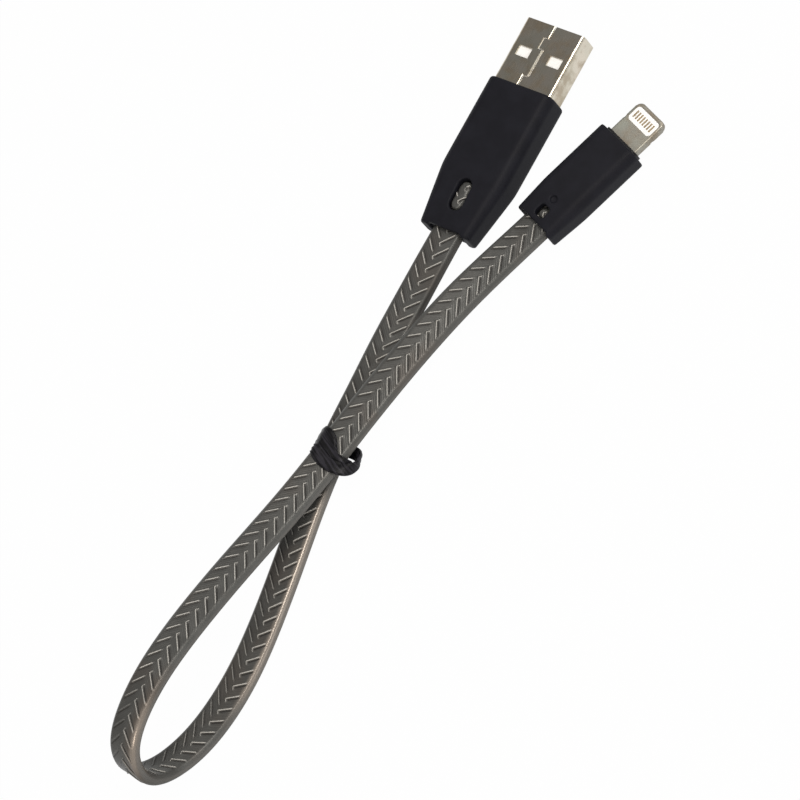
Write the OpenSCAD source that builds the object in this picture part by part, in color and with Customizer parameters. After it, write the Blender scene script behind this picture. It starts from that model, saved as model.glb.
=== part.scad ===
// Flat charging cable, folded once and held by a soft tie.
// A wide host plug, a flat embossed strap with four cores, and a slim reversible device plug.
// Millimetres. Origin on the table under the middle of the host plug, +X along its insertion, +Z up.

/* [Host plug shell] */
// Width of the metal shell
host_shell_w = 12; // [11:0.1:13]
// Thickness of the metal shell
host_shell_t = 4.5; // [4.2:0.1:5]
// Sheet thickness of the shell
host_shell_wall = 0.3; // [0.2:0.05:0.4]
// Outer corner radius of the folded sheet
host_shell_r = 0.7; // [0.5:0.05:1]
// Length of the shell in front of the overmould
host_shell_reach = 11.9; // [11:0.1:15]
// Length of the shell held inside the overmould
host_shell_root = 5.8; // [5:0.1:7]
// Width of one latch window
host_window_w = 2.6; // [2:0.1:3]
// Length of one latch window
host_window_l = 1.9; // [1.5:0.1:2.5]
// Distance between the two latch windows
host_window_pitch = 6.4; // [5:0.1:7]
// Distance from the mouth of the shell to the latch windows
host_window_tip = 6; // [5:0.1:8]
// Width of the slit where the folded sheet meets
host_seam_w = 0.18; // [0.12:0.01:0.24]
// Sideways step of the interlocking seam
host_seam_step = 1.05; // [0.8:0.05:1.5]
// Distance from the mouth of the shell to the seam's first step
host_seam_out = 2.5; // [2:0.1:3]
// Length of the seam's first key
host_seam_key = 2.1; // [1.5:0.1:2.5]
// Distance between the seam's two keys
host_seam_run = 5.3; // [5:0.1:5.6]

/* [Host plug inside] */
// Thickness of the insulator tongue
host_tongue_t = 2.15; // [1.8:0.05:2.3]
// Distance of the tongue's end behind the mouth of the shell
host_tongue_back = 0.5; // [0.3:0.1:1]
// Length of the insulator's block behind the tongue
host_block_l = 4; // [3:0.1:5]
// Width of a contact strip
host_contact_w = 1; // [0.8:0.05:1.2]
// Thickness of a contact strip
host_contact_t = 0.25; // [0.2:0.05:0.3]
// Distance of the inner contacts from the middle
host_contact_inner = 1; // [0.8:0.1:1.2]
// Distance of the outer contacts from the middle
host_contact_outer = 3.5; // [3.2:0.1:3.8]
// Distance of the outer contacts' ends behind the end of the tongue
host_contact_back = 1.2; // [0.8:0.1:2]
// Extra distance of the inner contacts' ends
host_contact_lag = 1; // [0.5:0.1:1.5]
// Length of the solder tails behind the block
host_contact_tail = 4; // [3:0.1:5]
// Width of the inner mould
host_inner_w = 11; // [10.5:0.1:11.4]
// Thickness of the inner mould
host_inner_t = 4.4; // [4.2:0.1:4.8]
// Wall of the inner mould
host_inner_wall = 0.8; // [0.6:0.05:0.9]

/* [Host plug overmould] */
// Length of the overmould
host_mould_l = 27.8; // [27:0.1:33]
// Width of the overmould
host_mould_w = 13.4; // [13.2:0.1:16]
// Thickness of the overmould
host_mould_t = 6.5; // [6.4:0.1:8]
// Edge radius of the overmould
host_mould_r = 1.8; // [1:0.1:2.2]
// Length of the tapered tail
host_tail_l = 10.8; // [9:0.1:12]
// Width at the end of the tail
host_tail_w = 10.2; // [9:0.1:12]
// Thickness at the end of the tail
host_tail_t = 4.7; // [4.3:0.1:6]
// Length of the window over the strap
host_slit_l = 5.8; // [4:0.1:6.5]
// Width of the window over the strap
host_slit_w = 2.6; // [2:0.1:3]
// Distance of the window's middle from the end of the tail
host_slit_x = 6.6; // [6:0.1:7.5]

/* [Device plug tab] */
// Width of the tab
tab_w = 6.7; // [6.4:0.05:7]
// Thickness of the tab
tab_t = 1.5; // [1.4:0.05:1.7]
// Length of the tab in front of its collar
tab_reach = 6.5; // [6:0.1:8]
// Radius of the tab's tip corners
tab_tip_r = 1.1; // [0.6:0.05:1.5]
// Radius of the tab's long edges
tab_edge_r = 0.4; // [0.2:0.05:0.6]
// Width of the contact panel
panel_w = 5.5; // [5.2:0.05:5.7]
// Length of the contact panel
panel_l = 2.9; // [2.6:0.05:3.2]
// Corner radius of the contact panel
panel_r = 0.7; // [0.4:0.05:1]
// Distance from the tip to the contact panel
panel_tip = 0.4; // [0.35:0.05:0.9]
// Number of contacts on each face
pad_count = 8; // [8:1:8]
// Distance between neighbouring contacts
pad_pitch = 0.58; // [0.5:0.01:0.6]
// Width of a contact
pad_w = 0.3; // [0.25:0.01:0.4]
// Length of a contact
pad_l = 1.4; // [1:0.05:2]
// Depth of a contact in the panel
pad_t = 0.16; // [0.1:0.01:0.25]
// Distance from the tip to the side notches
notch_tip = 3.3; // [3:0.1:4]
// Radius of the side notches
notch_r = 0.6; // [0.4:0.05:0.8]
// Depth of the side notches
notch_d = 0.25; // [0.15:0.05:0.35]

/* [Device plug inside] */
// Width of the inner mould
device_inner_w = 8.2; // [8.1:0.05:8.5]
// Thickness of the inner mould
device_inner_t = 4.5; // [4.3:0.05:4.7]
// Edge radius of the inner mould
device_inner_r = 1; // [0.6:0.05:1.2]
// Wall of the inner mould round the shield
device_inner_wall = 0.3; // [0.2:0.05:0.35]
// Rear wall of the inner mould
device_inner_back = 0.9; // [0.6:0.05:1.1]
// Front wall of the inner mould, with the collar
device_inner_front = 0.8; // [0.7:0.05:1]
// Length of the collar in front of the overmould
collar_l = 0.4; // [0.2:0.05:0.6]
// Width of the collar in front of the overmould
collar_w = 7.6; // [7.2:0.05:8]
// Thickness of the collar in front of the overmould
collar_t = 3; // [2.4:0.05:3.6]
// Sheet thickness of the shield
shield_wall = 0.2; // [0.15:0.05:0.25]
// Length of the tab's flange inside the shield
flange_l = 1.5; // [1:0.1:2]
// Thickness of the tab's flange
flange_t = 2.4; // [2:0.1:2.8]
// Thickness of the circuit board
board_t = 0.5; // [0.4:0.05:0.6]
// Width of the circuit board
board_w = 6.6; // [6:0.1:7]
// Width of the board's tongue inside the tab
board_tongue_w = 4.6; // [4:0.1:4.8]
// Free length between the inner mould's rear wall and the board
board_back = 2; // [1.8:0.1:2.4]
// Side of the square chip
chip_s = 2.4; // [2:0.1:3]
// Height of the chip
chip_t = 0.7; // [0.5:0.05:0.9]
// Distance of the chip's middle from the board's rear edge
chip_x = 4.4; // [4:0.1:5.5]
// Distance between neighbouring solder pads on the board
land_pitch = 1.5; // [1.4:0.05:1.6]

/* [Device plug overmould] */
// Length of the overmould
device_mould_l = 19.6; // [19:0.1:23]
// Width of the overmould
device_mould_w = 9.3; // [9:0.1:11]
// Thickness of the overmould
device_mould_t = 5.6; // [5.4:0.1:7]
// Edge radius of the overmould
device_mould_r = 1.6; // [1:0.1:2]
// Length of the tapered tail
device_tail_l = 6.4; // [5:0.1:6.6]
// Width at the end of the tail
device_tail_w = 8.5; // [8.1:0.1:9]
// Thickness at the end of the tail
device_tail_t = 4.6; // [4.4:0.1:5.5]
// Length of the window over the strap
device_slit_l = 4.4; // [3:0.1:5]
// Width of the window over the strap
device_slit_w = 2.1; // [1.6:0.1:2.6]
// Distance of the window's middle from the end of the tail
device_slit_x = 3.65; // [3.4:0.05:4]
// Lean of the plug towards its near side, in degrees
device_lean = 4.5; // [0:0.5:8]

/* [Strap and cores] */
// Width of the flat strap
strap_w = 6.05; // [5.8:0.05:6.2]
// Thickness of the flat strap
strap_t = 1.9; // [1.85:0.05:2]
// Corner radius of the strap
strap_r = 0.75; // [0.5:0.05:0.9]
// Width of the channel for the cores
channel_w = 4.8; // [4.7:0.05:5]
// Height of the channel for the cores
channel_t = 1.05; // [1:0.05:1.15]
// Corner radius of the channel
channel_r = 0.35; // [0.2:0.05:0.45]
// Diameter of an insulated core
core_d = 0.9; // [0.85:0.05:1]
// Distance between neighbouring cores
core_pitch = 1.15; // [1.1:0.05:1.25]
// Diameter of the stripped copper
wire_d = 0.5; // [0.4:0.05:0.55]
// Height of a solder joint over its flat
solder_h = 0.65; // [0.6:0.05:0.65]
// Length of strap inside the host plug
host_strap_in = 12.25; // [11.5:0.05:12.5]
// Length of strap inside the device plug
device_strap_in = 6.7; // [6.6:0.05:6.9]
// Length of core that runs on past the strap at the host plug
host_core_tail = 2.5; // [2.2:0.1:3]
// Length of core that runs on past the strap at the device plug
device_core_tail = 1.2; // [1.1:0.05:1.4]

/* [Tie] */
// Width of the tie's ribbon on the far side, where it lies flat
tie_w = 2.4; // [2:0.1:2.5]
// Width of the tie's ribbon on the near side, where it bunches
tie_bunch_w = 1.2; // [1:0.1:1.3]
// Thickness of the tie's ribbon
tie_t = 0.4; // [0.4:0.05:0.6]
// Distance between the two turns on the far side of the strap
tie_pitch = 3.1; // [3:0.1:3.5]
// Distance between the two turns on the near side of the strap
tie_bunch_pitch = 1.8; // [1.7:0.1:2]
// How far the near side lies towards the loop
tie_slant = 2.7; // [2:0.1:3]
// How far the outer turn stands off on the near side
tie_bulge = 1.8; // [1.5:0.1:2.2]
// How far the outer turn swings back towards the plugs below the strap
tie_swing = 5; // [4:0.5:5.5]

/* [Clearances] */
// Gap between a moulding and the piece that it holds
fit_gap = 0.05; // [0.03:0.01:0.08]
// Gap between the strap and the slot that it runs in
slot_gap = 0.15; // [0.1:0.01:0.2]
// Gap between the strap and the wider mouth of its slot
mouth_gap = 0.4; // [0.3:0.05:0.5]
// How far the rear of an overmould is scooped out round the strap
scoop_d = 0.4; // [0.2:0.05:0.6]
// Gap between the strap and the tie round it
tie_gap = 0.25; // [0.2:0.05:0.4]
// Gap round a contact in the panel
pad_gap = 0.01; // [0.01:0.005:0.02]

/* [Hidden] */
$fn = 48;
// How far a cut runs past the face that it opens
cut_past = 1;

// The host plug lies flat on the table, the device plug leans on its near edge
host_z = host_mould_t / 2;
device_z = (device_mould_w / 2 - device_mould_r) * sin(device_lean)
    + (device_mould_t / 2 - device_mould_r) * cos(device_lean) + device_mould_r;

// Route of the strap: x, y, z, then the turn and the lift of its width in degrees
route = [
    [-1.65, 0, host_z, 0, 0],
    [-10.1, 0, host_z, 0, 0],
    [-18.2, 0.2, 3.1, -1, -3],
    [-26.4, 1.05, 1.55, -2, -8],
    [-35, 1.25, 1.25, 0, -6],
    [-43.2, 0.85, 1.15, 3, -1],
    [-51.8, 0.2, 1.9, 5, 2],
    [-60, -0.6, 1.9, 7, 3],
    [-68.2, -1.7, 1.35, 10, 3],
    [-76.3, -3.3, 1.35, 11, 3],
    [-85, -4.8, 1.35, 9, 2],
    [-93.1, -5.65, 1.15, 3, -1],
    [-101.3, -5.55, 1.15, -6, -2],
    [-109.9, -4.2, 1.8, -12, 1],
    [-118.1, -2.4, 7.2, -7, 9],
    [-115.2, -0.95, 15.8, 3, 8],
    [-105.1, -0.4, 17.3, 5, 0],
    [-97, 0.1, 15.55, 1, -6],
    [-89.3, 0.4, 13.05, -2, -9],
    [-81.1, 0.3, 10.4, -4, -9],
    [-73.4, 0.1, 7.7, -5, -9],
    [-65.3, -0.4, 5.4, -6, -8],
    [-57.1, -1.25, 4.2, -7, -7],
    [-49, -2.4, 3.85, -9, -7],
    [-40.3, -3.85, 3.45, -11, -9],
    [-32.2, -5.5, 3.2, -14, -12],
    [-24, -7.8, 3.3, -17, -13],
    [-16.3, -10.4, 3.05, -20, -9],
    [-8.5, -13.5, device_z, -20, -device_lean],
    [-0.65, -16.45, device_z, -20, -device_lean]
];
// The route's spans that turn through the end loop, which take finer steps
bend_first = 12;
bend_last = 16;
bend_steps = 4;
plain_steps = 2;
core_sides = 6;
wire_sides = 6;

// Where the plugs sit on the two ends of the strap
host_tail_x = route[0].x - host_strap_in;
host_front_x = host_tail_x + host_mould_l;
host_shell_back = host_front_x - host_shell_root;
host_mouth_x = host_front_x + host_shell_reach;
host_inner_back = route[0].x + fit_gap;
device_end = route[len(route) - 1];
device_before = route[len(route) - 2];
device_heading = atan2(device_end.y - device_before.y, device_end.x - device_before.x);

// Levels inside the host plug
host_roof_z = host_z + host_shell_t / 2 - host_shell_wall - fit_gap;
host_strip_top = host_roof_z - host_tongue_t;
host_wire_z = host_strip_top + wire_d / 2;

// Stations along the device plug, counted from the end of its tail
device_inner_x = device_strap_in + fit_gap;
device_shield_x = device_inner_x + device_inner_back + fit_gap;
device_front_x = device_mould_l + collar_l;
device_wall_x = device_front_x - device_inner_front;
device_shield_l = device_wall_x - fit_gap - device_shield_x;
shield_w = device_inner_w - 2 * device_inner_wall - 2 * fit_gap;
shield_t = device_inner_t - 2 * device_inner_wall - 2 * fit_gap;
flange_w = shield_w - 2 * shield_wall - 2 * fit_gap;
flange_x = device_wall_x - fit_gap - flange_l;
tab_tip_x = device_front_x + tab_reach;
panel_x = tab_tip_x - panel_tip - panel_l / 2;
board_x = device_inner_x + device_inner_back + board_back;
board_top = device_z + board_t / 2;

core_y = [for (i = [0:3]) (i - 1.5) * core_pitch];
host_contact_y = [-host_contact_outer, -host_contact_inner, host_contact_inner, host_contact_outer];
land_y = [for (i = [0:3]) (i - 1.5) * land_pitch];

// Shared profiles and placing

module round_rect(w, h, r) {
    square([w - 2 * r, h], center = true);
    square([w, h - 2 * r], center = true);
    for (x = [-1, 1], y = [-1, 1])
        translate([x * (w / 2 - r), y * (h / 2 - r)])
            circle(r);
}

module stadium(l, w) {
    square([l - w, w], center = true);
    for (x = [-1, 1])
        translate([x * (l - w) / 2, 0])
            circle(d = w);
}

// A rounded bar that runs along +X, with its width in Y and its thickness in Z
module bar(l, w, t, r) {
    rotate([90, 0, 90])
        linear_extrude(l)
            round_rect(w, t, r);
}

module host_at(x) {
    translate([x, 0, host_z])
        children();
}

module device_at(x) {
    translate([device_end.x, device_end.y, device_z])
        rotate([device_lean, 0, device_heading])
            translate([x - device_strap_in, 0, 0])
                children();
}

// A saddle of solder that stands on a flat astride a wire, from x = 0
module solder_saddle(l, floor_z) {
    translate([0, 0, floor_z])
        rotate([90, 0, 90])
            linear_extrude(l)
                difference() {
                    intersection() {
                        circle(solder_h);
                        translate([-solder_h, 0])
                            square([2 * solder_h, solder_h]);
                    }
                    translate([0, wire_d / 2])
                        circle(d = wire_d);
                    translate([-wire_d / 2, -cut_past])
                        square([wire_d, wire_d / 2 + cut_past]);
                }
}

// Sweeping along the route

// Point on a smooth curve that the control points pull towards themselves
function spline_at(points, u) =
    let (
        last = len(points) - 1,
        i = min(floor(u), last - 1),
        f = u - i,
        before = i > 0 ? points[i - 1] : 2 * points[0] - points[1],
        after = i < last - 1 ? points[i + 2] : 2 * points[last] - points[last - 1]
    )
    (pow(1 - f, 3) * before
        + (3 * pow(f, 3) - 6 * pow(f, 2) + 4) * points[i]
        + (-3 * pow(f, 3) + 3 * pow(f, 2) + 3 * f + 1) * points[i + 1]
        + pow(f, 3) * after) / 6;

function place_of(v) = [v[0], v[1], v[2]];
function unit(v) = v / norm(v);

// Places along the route where the strap has a ring
ring_places = concat(
    [for (i = [0:len(route) - 2])
        let (steps = i >= bend_first && i <= bend_last ? bend_steps : plain_steps)
        for (k = [0:steps - 1]) i + k / steps],
    [len(route) - 1]
);

// Frame of the strap at a place: middle, tangent, width and normal
function strap_frame(u) =
    let (
        h = 0.01,
        here = spline_at(route, u),
        ahead = spline_at(route, min(u + h, len(route) - 1)),
        behind = spline_at(route, max(u - h, 0)),
        tangent = unit(place_of(ahead) - place_of(behind)),
        turn = here[3],
        lift = here[4],
        lean = [sin(turn) * cos(lift), -cos(turn) * cos(lift), sin(lift)],
        width = unit(lean - (lean * tangent) * tangent)
    )
    [place_of(here), tangent, width, cross(tangent, width)];

strap_frames = [for (u = ring_places) strap_frame(u)];
strap_length = let (last = len(strap_frames) - 1)
    sum([for (i = [1:last]) norm(strap_frames[i][0] - strap_frames[i - 1][0])]);

function sum(list, i = 0) = i < len(list) ? list[i] + sum(list, i + 1) : 0;

// A frame moved along its own tangent
function run_on(frame, distance) =
    [frame[0] + distance * frame[1], frame[1], frame[2], frame[3]];

// Rounded flat section with three points at each corner
function flat_section(w, t, r) = [
    for (corner = [0:3], k = [0:2])
        let (
            a = 90 * corner + 45 * k,
            side = corner == 0 || corner == 3 ? 1 : -1,
            top = corner < 2 ? 1 : -1
        )
        [side * (w / 2 - r) + r * cos(a), top * (t / 2 - r) + r * sin(a)]
];

function round_section(d, y, sides) =
    [for (k = [0:sides - 1]) [y + d / 2 * cos(360 * k / sides), d / 2 * sin(360 * k / sides)]];

function swept_points(frames, section) = [
    for (f = frames, p = section) f[0] + p[0] * f[2] + p[1] * f[3]
];

// Triangles of a tube's side, turned outwards or inwards, for points that start at first
function side_faces(rings, sides, first, outwards) = [
    for (i = [0:rings - 2], k = [0:sides - 1])
        let (
            a = first + i * sides + k,
            b = first + i * sides + (k + 1) % sides,
            c = a + sides,
            d = b + sides
        )
        for (face = outwards ? [[a, d, b], [a, c, d]] : [[a, b, d], [a, d, c]]) face
];

// Triangles of a closed end that fan out from its first point
function end_faces(first, sides, forwards) = [
    for (k = [1:sides - 2])
        forwards ? [first, first + k + 1, first + k] : [first, first + k, first + k + 1]
];

// Triangles between an outer and an inner ring of as many points
function rim_faces(outer, inner, sides, forwards) = [
    for (k = [0:sides - 1])
        let (
            a = outer + k,
            b = outer + (k + 1) % sides,
            c = inner + k,
            d = inner + (k + 1) % sides
        )
        for (face = forwards ? [[a, b, d], [a, d, c]] : [[a, d, b], [a, c, d]]) face
];

// A closed tube through rings of as many points
module ring_tube(rings) {
    sides = len(rings[0]);
    last = len(rings) - 1;
    polyhedron(
        [for (ring = rings, p = ring) p],
        concat(
            side_faces(len(rings), sides, 0, true),
            end_faces(0, sides, false),
            end_faces(last * sides, sides, true)
        )
    );
}

module solid_tube(frames, section) {
    ring_tube([for (f = frames) swept_points([f], section)]);
}

module hollow_tube(frames, section, bore) {
    sides = len(section);
    rings = len(frames);
    inner = rings * sides;
    polyhedron(
        concat(swept_points(frames, section), swept_points(frames, bore)),
        concat(
            side_faces(rings, sides, 0, true),
            side_faces(rings, sides, inner, false),
            rim_faces(0, inner, sides, true),
            rim_faces((rings - 1) * sides, inner + (rings - 1) * sides, sides, false)
        )
    );
}

// A stripped wire through a list of points that keep heading along +X
module wire(points, d) {
    last = len(points) - 1;
    up = [0, 0, 1];
    frames = [
        for (i = [0:last])
            let (
                tangent = unit(points[min(i + 1, last)] - points[max(i - 1, 0)]),
                width = unit(cross(up, tangent))
            )
            [points[i], tangent, width, cross(tangent, width)]
    ];
    solid_tube(frames, round_section(d, 0, wire_sides));
}

// Host plug

// The two halves of the folded sheet meet along a line that steps to one side and back
module host_seam() {
    stops = [
        [host_mouth_x + cut_past, 0],
        [host_mouth_x - host_seam_out, host_seam_step],
        [host_mouth_x - host_seam_out - host_seam_key, 0],
        [host_mouth_x - host_seam_out - host_seam_key - host_seam_run, host_seam_step],
        [host_shell_back - cut_past, host_seam_step]
    ];
    for (i = [0:len(stops) - 2])
        translate([stops[i + 1].x - host_seam_w / 2, stops[i].y - host_seam_w / 2, 0])
            cube([stops[i].x - stops[i + 1].x + host_seam_w, host_seam_w, host_shell_t]);
    for (i = [1:len(stops) - 2])
        translate([stops[i].x - host_seam_w / 2, -host_seam_w / 2, 0])
            cube([host_seam_w, host_seam_step + host_seam_w, host_shell_t]);
}

module host_shell() {
    length = host_shell_root + host_shell_reach;
    color("silver")
        difference() {
            host_at(host_shell_back)
                bar(length, host_shell_w, host_shell_t, host_shell_r);
            host_at(host_shell_back - cut_past)
                bar(length + 2 * cut_past, host_shell_w - 2 * host_shell_wall,
                    host_shell_t - 2 * host_shell_wall, host_shell_r - host_shell_wall);
            for (y = [-1, 1])
                host_at(host_mouth_x - host_window_tip)
                    translate([0, y * host_window_pitch / 2, 0])
                        cube([host_window_l, host_window_w, 2 * host_shell_t], center = true);
            host_at(0)
                host_seam();
        }
}

module host_strip(y, length, gap) {
    back = host_shell_back - host_contact_tail;
    translate([back, y - host_contact_w / 2 - gap, host_strip_top - host_contact_t - gap])
        cube([length, host_contact_w + 2 * gap, host_contact_t + gap]);
}

// Length of one contact strip, tail and blade
function host_strip_l(i) =
    host_contact_tail + host_shell_root + host_shell_reach - host_tongue_back - host_contact_back
    - (i == 1 || i == 2 ? host_contact_lag : 0);

module host_insulator() {
    block_w = host_shell_w - 2 * host_shell_wall - 2 * fit_gap;
    block_t = host_shell_t - 2 * host_shell_wall - 2 * fit_gap;
    tongue_end = host_mouth_x - host_tongue_back;
    color("whitesmoke")
        difference() {
            union() {
                host_at(host_shell_back)
                    bar(host_block_l, block_w, block_t, host_shell_r - host_shell_wall);
                translate([host_shell_back, -block_w / 2 + host_shell_r, host_strip_top])
                    cube([tongue_end - host_shell_back, block_w - 2 * host_shell_r, host_tongue_t]);
            }
            for (i = [0:3])
                host_strip(host_contact_y[i], host_strip_l(i), fit_gap);
        }
}

module host_contacts() {
    color("gold")
        for (i = [0:3])
            host_strip(host_contact_y[i], host_strip_l(i), 0);
}

module host_wire_ends() {
    start = route[0].x + host_core_tail;
    bend = start + wire_d;
    landing = host_shell_back - host_contact_tail - wire_d;
    color("peru")
        for (i = [0:3])
            wire([
                [start, core_y[i], host_wire_z],
                [bend, core_y[i], host_wire_z],
                [landing, host_contact_y[i], host_wire_z],
                [host_shell_back - wire_d, host_contact_y[i], host_wire_z]
            ], wire_d);
}

module host_solder() {
    saddle_l = host_contact_tail / 2;
    color("lightgray")
        for (y = host_contact_y)
            translate([host_shell_back - host_contact_tail / 2 - saddle_l / 2, y, 0])
                solder_saddle(saddle_l, host_strip_top);
}

module host_inner_mould() {
    length = host_shell_back - fit_gap - host_inner_back;
    back = host_core_tail - 2 * fit_gap;
    color("ivory")
        difference() {
            host_at(host_inner_back)
                bar(length, host_inner_w, host_inner_t, host_inner_wall);
            host_at(host_inner_back + back)
                translate([length / 2, 0, 0])
                    cube([length, host_inner_w - 2 * host_inner_wall, host_inner_t - 2 * host_inner_wall],
                        center = true);
            host_at(host_inner_back)
                cube([2 * length, channel_w, channel_t], center = true);
        }
}

// A moulded body along +X: a tapered tail and a straight front, with round edges
module mould_body(l, w, t, r, tail_l, tail_w, tail_t) {
    sliver = 0.01;
    translate([tail_l, 0, 0])
        bar(l - tail_l, w, t, r);
    hull() {
        bar(sliver, tail_w, tail_t, r * tail_t / t, $fn = 32);
        translate([tail_l - sliver, 0, 0])
            bar(sliver, w, t, r, $fn = 32);
    }
}

// The slot for the strap with its wider mouth and its scoop, from the tail's end at x = 0
module strap_slot(depth) {
    translate([-cut_past, -strap_w / 2 - slot_gap, -strap_t / 2 - slot_gap])
        cube([depth + cut_past, strap_w + 2 * slot_gap, strap_t + 2 * slot_gap]);
    translate([-cut_past, -strap_w / 2 - mouth_gap, -strap_t / 2 - mouth_gap])
        cube([cut_past + strap_t / 2, strap_w + 2 * mouth_gap, strap_t + 2 * mouth_gap]);
    translate([-cut_past, -strap_w / 2 - mouth_gap, -host_mould_t / 2])
        cube([cut_past + scoop_d, strap_w + 2 * mouth_gap, host_mould_t]);
}

module host_overmould() {
    color([0.13, 0.13, 0.15])
        host_at(host_tail_x)
            difference() {
                mould_body(host_mould_l, host_mould_w, host_mould_t, host_mould_r,
                    host_tail_l, host_tail_w, host_tail_t);
                translate([host_mould_l - host_shell_root - fit_gap, 0, 0])
                    bar(host_shell_root + fit_gap + cut_past, host_shell_w + 2 * fit_gap,
                        host_shell_t + 2 * fit_gap, host_shell_r + fit_gap);
                translate([host_strap_in, 0, 0])
                    bar(host_mould_l - host_shell_root - host_strap_in, host_inner_w + 2 * fit_gap,
                        host_inner_t + 2 * fit_gap, host_inner_wall + fit_gap);
                strap_slot(host_strap_in + fit_gap);
                translate([host_slit_x, 0, -host_mould_t])
                    linear_extrude(2 * host_mould_t)
                        stadium(host_slit_l, host_slit_w);
            }
}

// Device plug

module panel_outline(gap) {
    round_rect(panel_l - 2 * gap, panel_w - 2 * gap, panel_r - gap);
}

module tab_frame() {
    length = tab_tip_x - flange_x;
    color("gainsboro")
        difference() {
            union() {
                intersection() {
                    device_at(flange_x)
                        bar(length, tab_w, tab_t, tab_edge_r);
                    device_at(flange_x)
                        translate([0, 0, -tab_t])
                            linear_extrude(2 * tab_t) {
                                translate([0, -tab_w / 2])
                                    square([length - tab_tip_r, tab_w]);
                                translate([length / 2, 0])
                                    round_rect(length, tab_w, tab_tip_r);
                            }
                }
                device_at(flange_x)
                    bar(flange_l, flange_w, flange_t, tab_edge_r);
            }
            device_at(panel_x)
                translate([0, 0, -tab_t])
                    linear_extrude(2 * tab_t)
                        panel_outline(0);
            device_at(flange_x - cut_past)
                translate([0, -board_tongue_w / 2 - fit_gap, -board_t / 2 - fit_gap])
                    cube([panel_x - flange_x + cut_past, board_tongue_w + 2 * fit_gap,
                        board_t + 2 * fit_gap]);
            for (y = [-1, 1])
                device_at(tab_tip_x - notch_tip)
                    translate([0, y * (tab_w / 2 + notch_r - notch_d), 0])
                        cylinder(h = 2 * tab_t, r = notch_r, center = true);
        }
}

module tab_pads(gap) {
    for (i = [0:pad_count - 1])
        translate([0, (i - (pad_count - 1) / 2) * pad_pitch, tab_t / 2 - pad_t / 2 + gap])
            cube([pad_l + 2 * gap, pad_w + 2 * gap, pad_t + 4 * gap], center = true);
}

module tab_insulator() {
    color("white")
        device_at(panel_x)
            difference() {
                translate([0, 0, -tab_t / 2])
                    linear_extrude(tab_t)
                        panel_outline(fit_gap / 2);
                for (face = [0, 1])
                    mirror([0, 0, face])
                        tab_pads(pad_gap);
            }
}

module tab_contacts_top() {
    color("gold")
        device_at(panel_x)
            tab_pads(0);
}

module tab_contacts_bottom() {
    color("gold")
        device_at(panel_x)
            mirror([0, 0, 1])
                tab_pads(0);
}

module circuit_board() {
    color("darkgreen") {
        device_at(board_x)
            translate([0, -board_w / 2, -board_t / 2])
                cube([flange_x - fit_gap - board_x, board_w, board_t]);
        device_at(flange_x - fit_gap)
            translate([0, -board_tongue_w / 2, -board_t / 2])
                cube([panel_x - panel_l / 2 - flange_x + fit_gap, board_tongue_w, board_t]);
    }
}

module control_chip() {
    color([0.1, 0.1, 0.1])
        device_at(board_x + chip_x)
            translate([-chip_s / 2, -chip_s / 2, board_t / 2])
                cube([chip_s, chip_s, chip_t]);
}

module device_shield() {
    color("silver")
        device_at(device_shield_x)
            difference() {
                bar(device_shield_l, shield_w, shield_t, 2 * shield_wall);
                translate([-cut_past, 0, 0])
                    bar(device_shield_l + 2 * cut_past, shield_w - 2 * shield_wall,
                        shield_t - 2 * shield_wall, shield_wall);
            }
}

module device_wire_ends() {
    start = device_strap_in + device_core_tail;
    landing = board_x - wire_d / 2;
    rise = board_top + wire_d / 2 - device_z;
    color("peru")
        device_at(0)
            for (i = [0:3])
                wire([
                    [start, -core_y[i], 0],
                    [start + wire_d / 2, -core_y[i], 0],
                    [landing, -land_y[i], rise],
                    [board_x + land_pitch, -land_y[i], rise]
                ], wire_d);
}

module device_solder() {
    color("lightgray")
        for (y = land_y)
            device_at(board_x + fit_gap)
                translate([0, y, 0])
                    solder_saddle(land_pitch - 2 * fit_gap, board_t / 2);
}

module device_inner_mould() {
    length = device_mould_l - device_inner_x;
    color([0.16, 0.16, 0.18])
        difference() {
            device_at(device_inner_x) {
                bar(length, device_inner_w, device_inner_t, device_inner_r);
                bar(length + collar_l, collar_w, collar_t, device_inner_r);
            }
            device_at(device_inner_x + device_inner_back)
                bar(device_wall_x - device_inner_x - device_inner_back,
                    device_inner_w - 2 * device_inner_wall, device_inner_t - 2 * device_inner_wall,
                    2 * shield_wall);
            device_at(device_inner_x - cut_past)
                translate([0, -channel_w / 2, -channel_t / 2])
                    cube([device_inner_back + 2 * cut_past, channel_w, channel_t]);
            device_at(device_wall_x - cut_past)
                bar(device_inner_front + 2 * cut_past, tab_w + 2 * fit_gap,
                    tab_t + 2 * fit_gap, tab_edge_r);
        }
}

module device_overmould() {
    color([0.13, 0.13, 0.15])
        device_at(0)
            difference() {
                mould_body(device_mould_l, device_mould_w, device_mould_t, device_mould_r,
                    device_tail_l, device_tail_w, device_tail_t);
                translate([device_strap_in, 0, 0])
                    bar(device_mould_l, device_inner_w + 2 * fit_gap, device_inner_t + 2 * fit_gap,
                        device_inner_r + fit_gap);
                strap_slot(device_strap_in + fit_gap);
                translate([device_slit_x, 0, -device_mould_t])
                    linear_extrude(2 * device_mould_t)
                        stadium(device_slit_l, device_slit_w);
            }
}

// Strap and cores

module strap_jacket() {
    color([0.33, 0.33, 0.3])
        hollow_tube(strap_frames, flat_section(strap_w, strap_t, strap_r),
            flat_section(channel_w, channel_t, channel_r));
}

module core(i) {
    last = len(strap_frames) - 1;
    frames = concat(
        [run_on(strap_frames[0], -host_core_tail)],
        strap_frames,
        [run_on(strap_frames[last], device_core_tail)]
    );
    solid_tube(frames, round_section(core_d, -core_y[i], core_sides));
}

module power_core() {
    color("firebrick")
        core(0);
}

module data_core_minus() {
    color("white")
        core(1);
}

module data_core_plus() {
    color("green")
        core(2);
}

module ground_core() {
    color("black")
        core(3);
}

// Tie: one ribbon wound twice round both layers of the strap, loose on the near side

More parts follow.
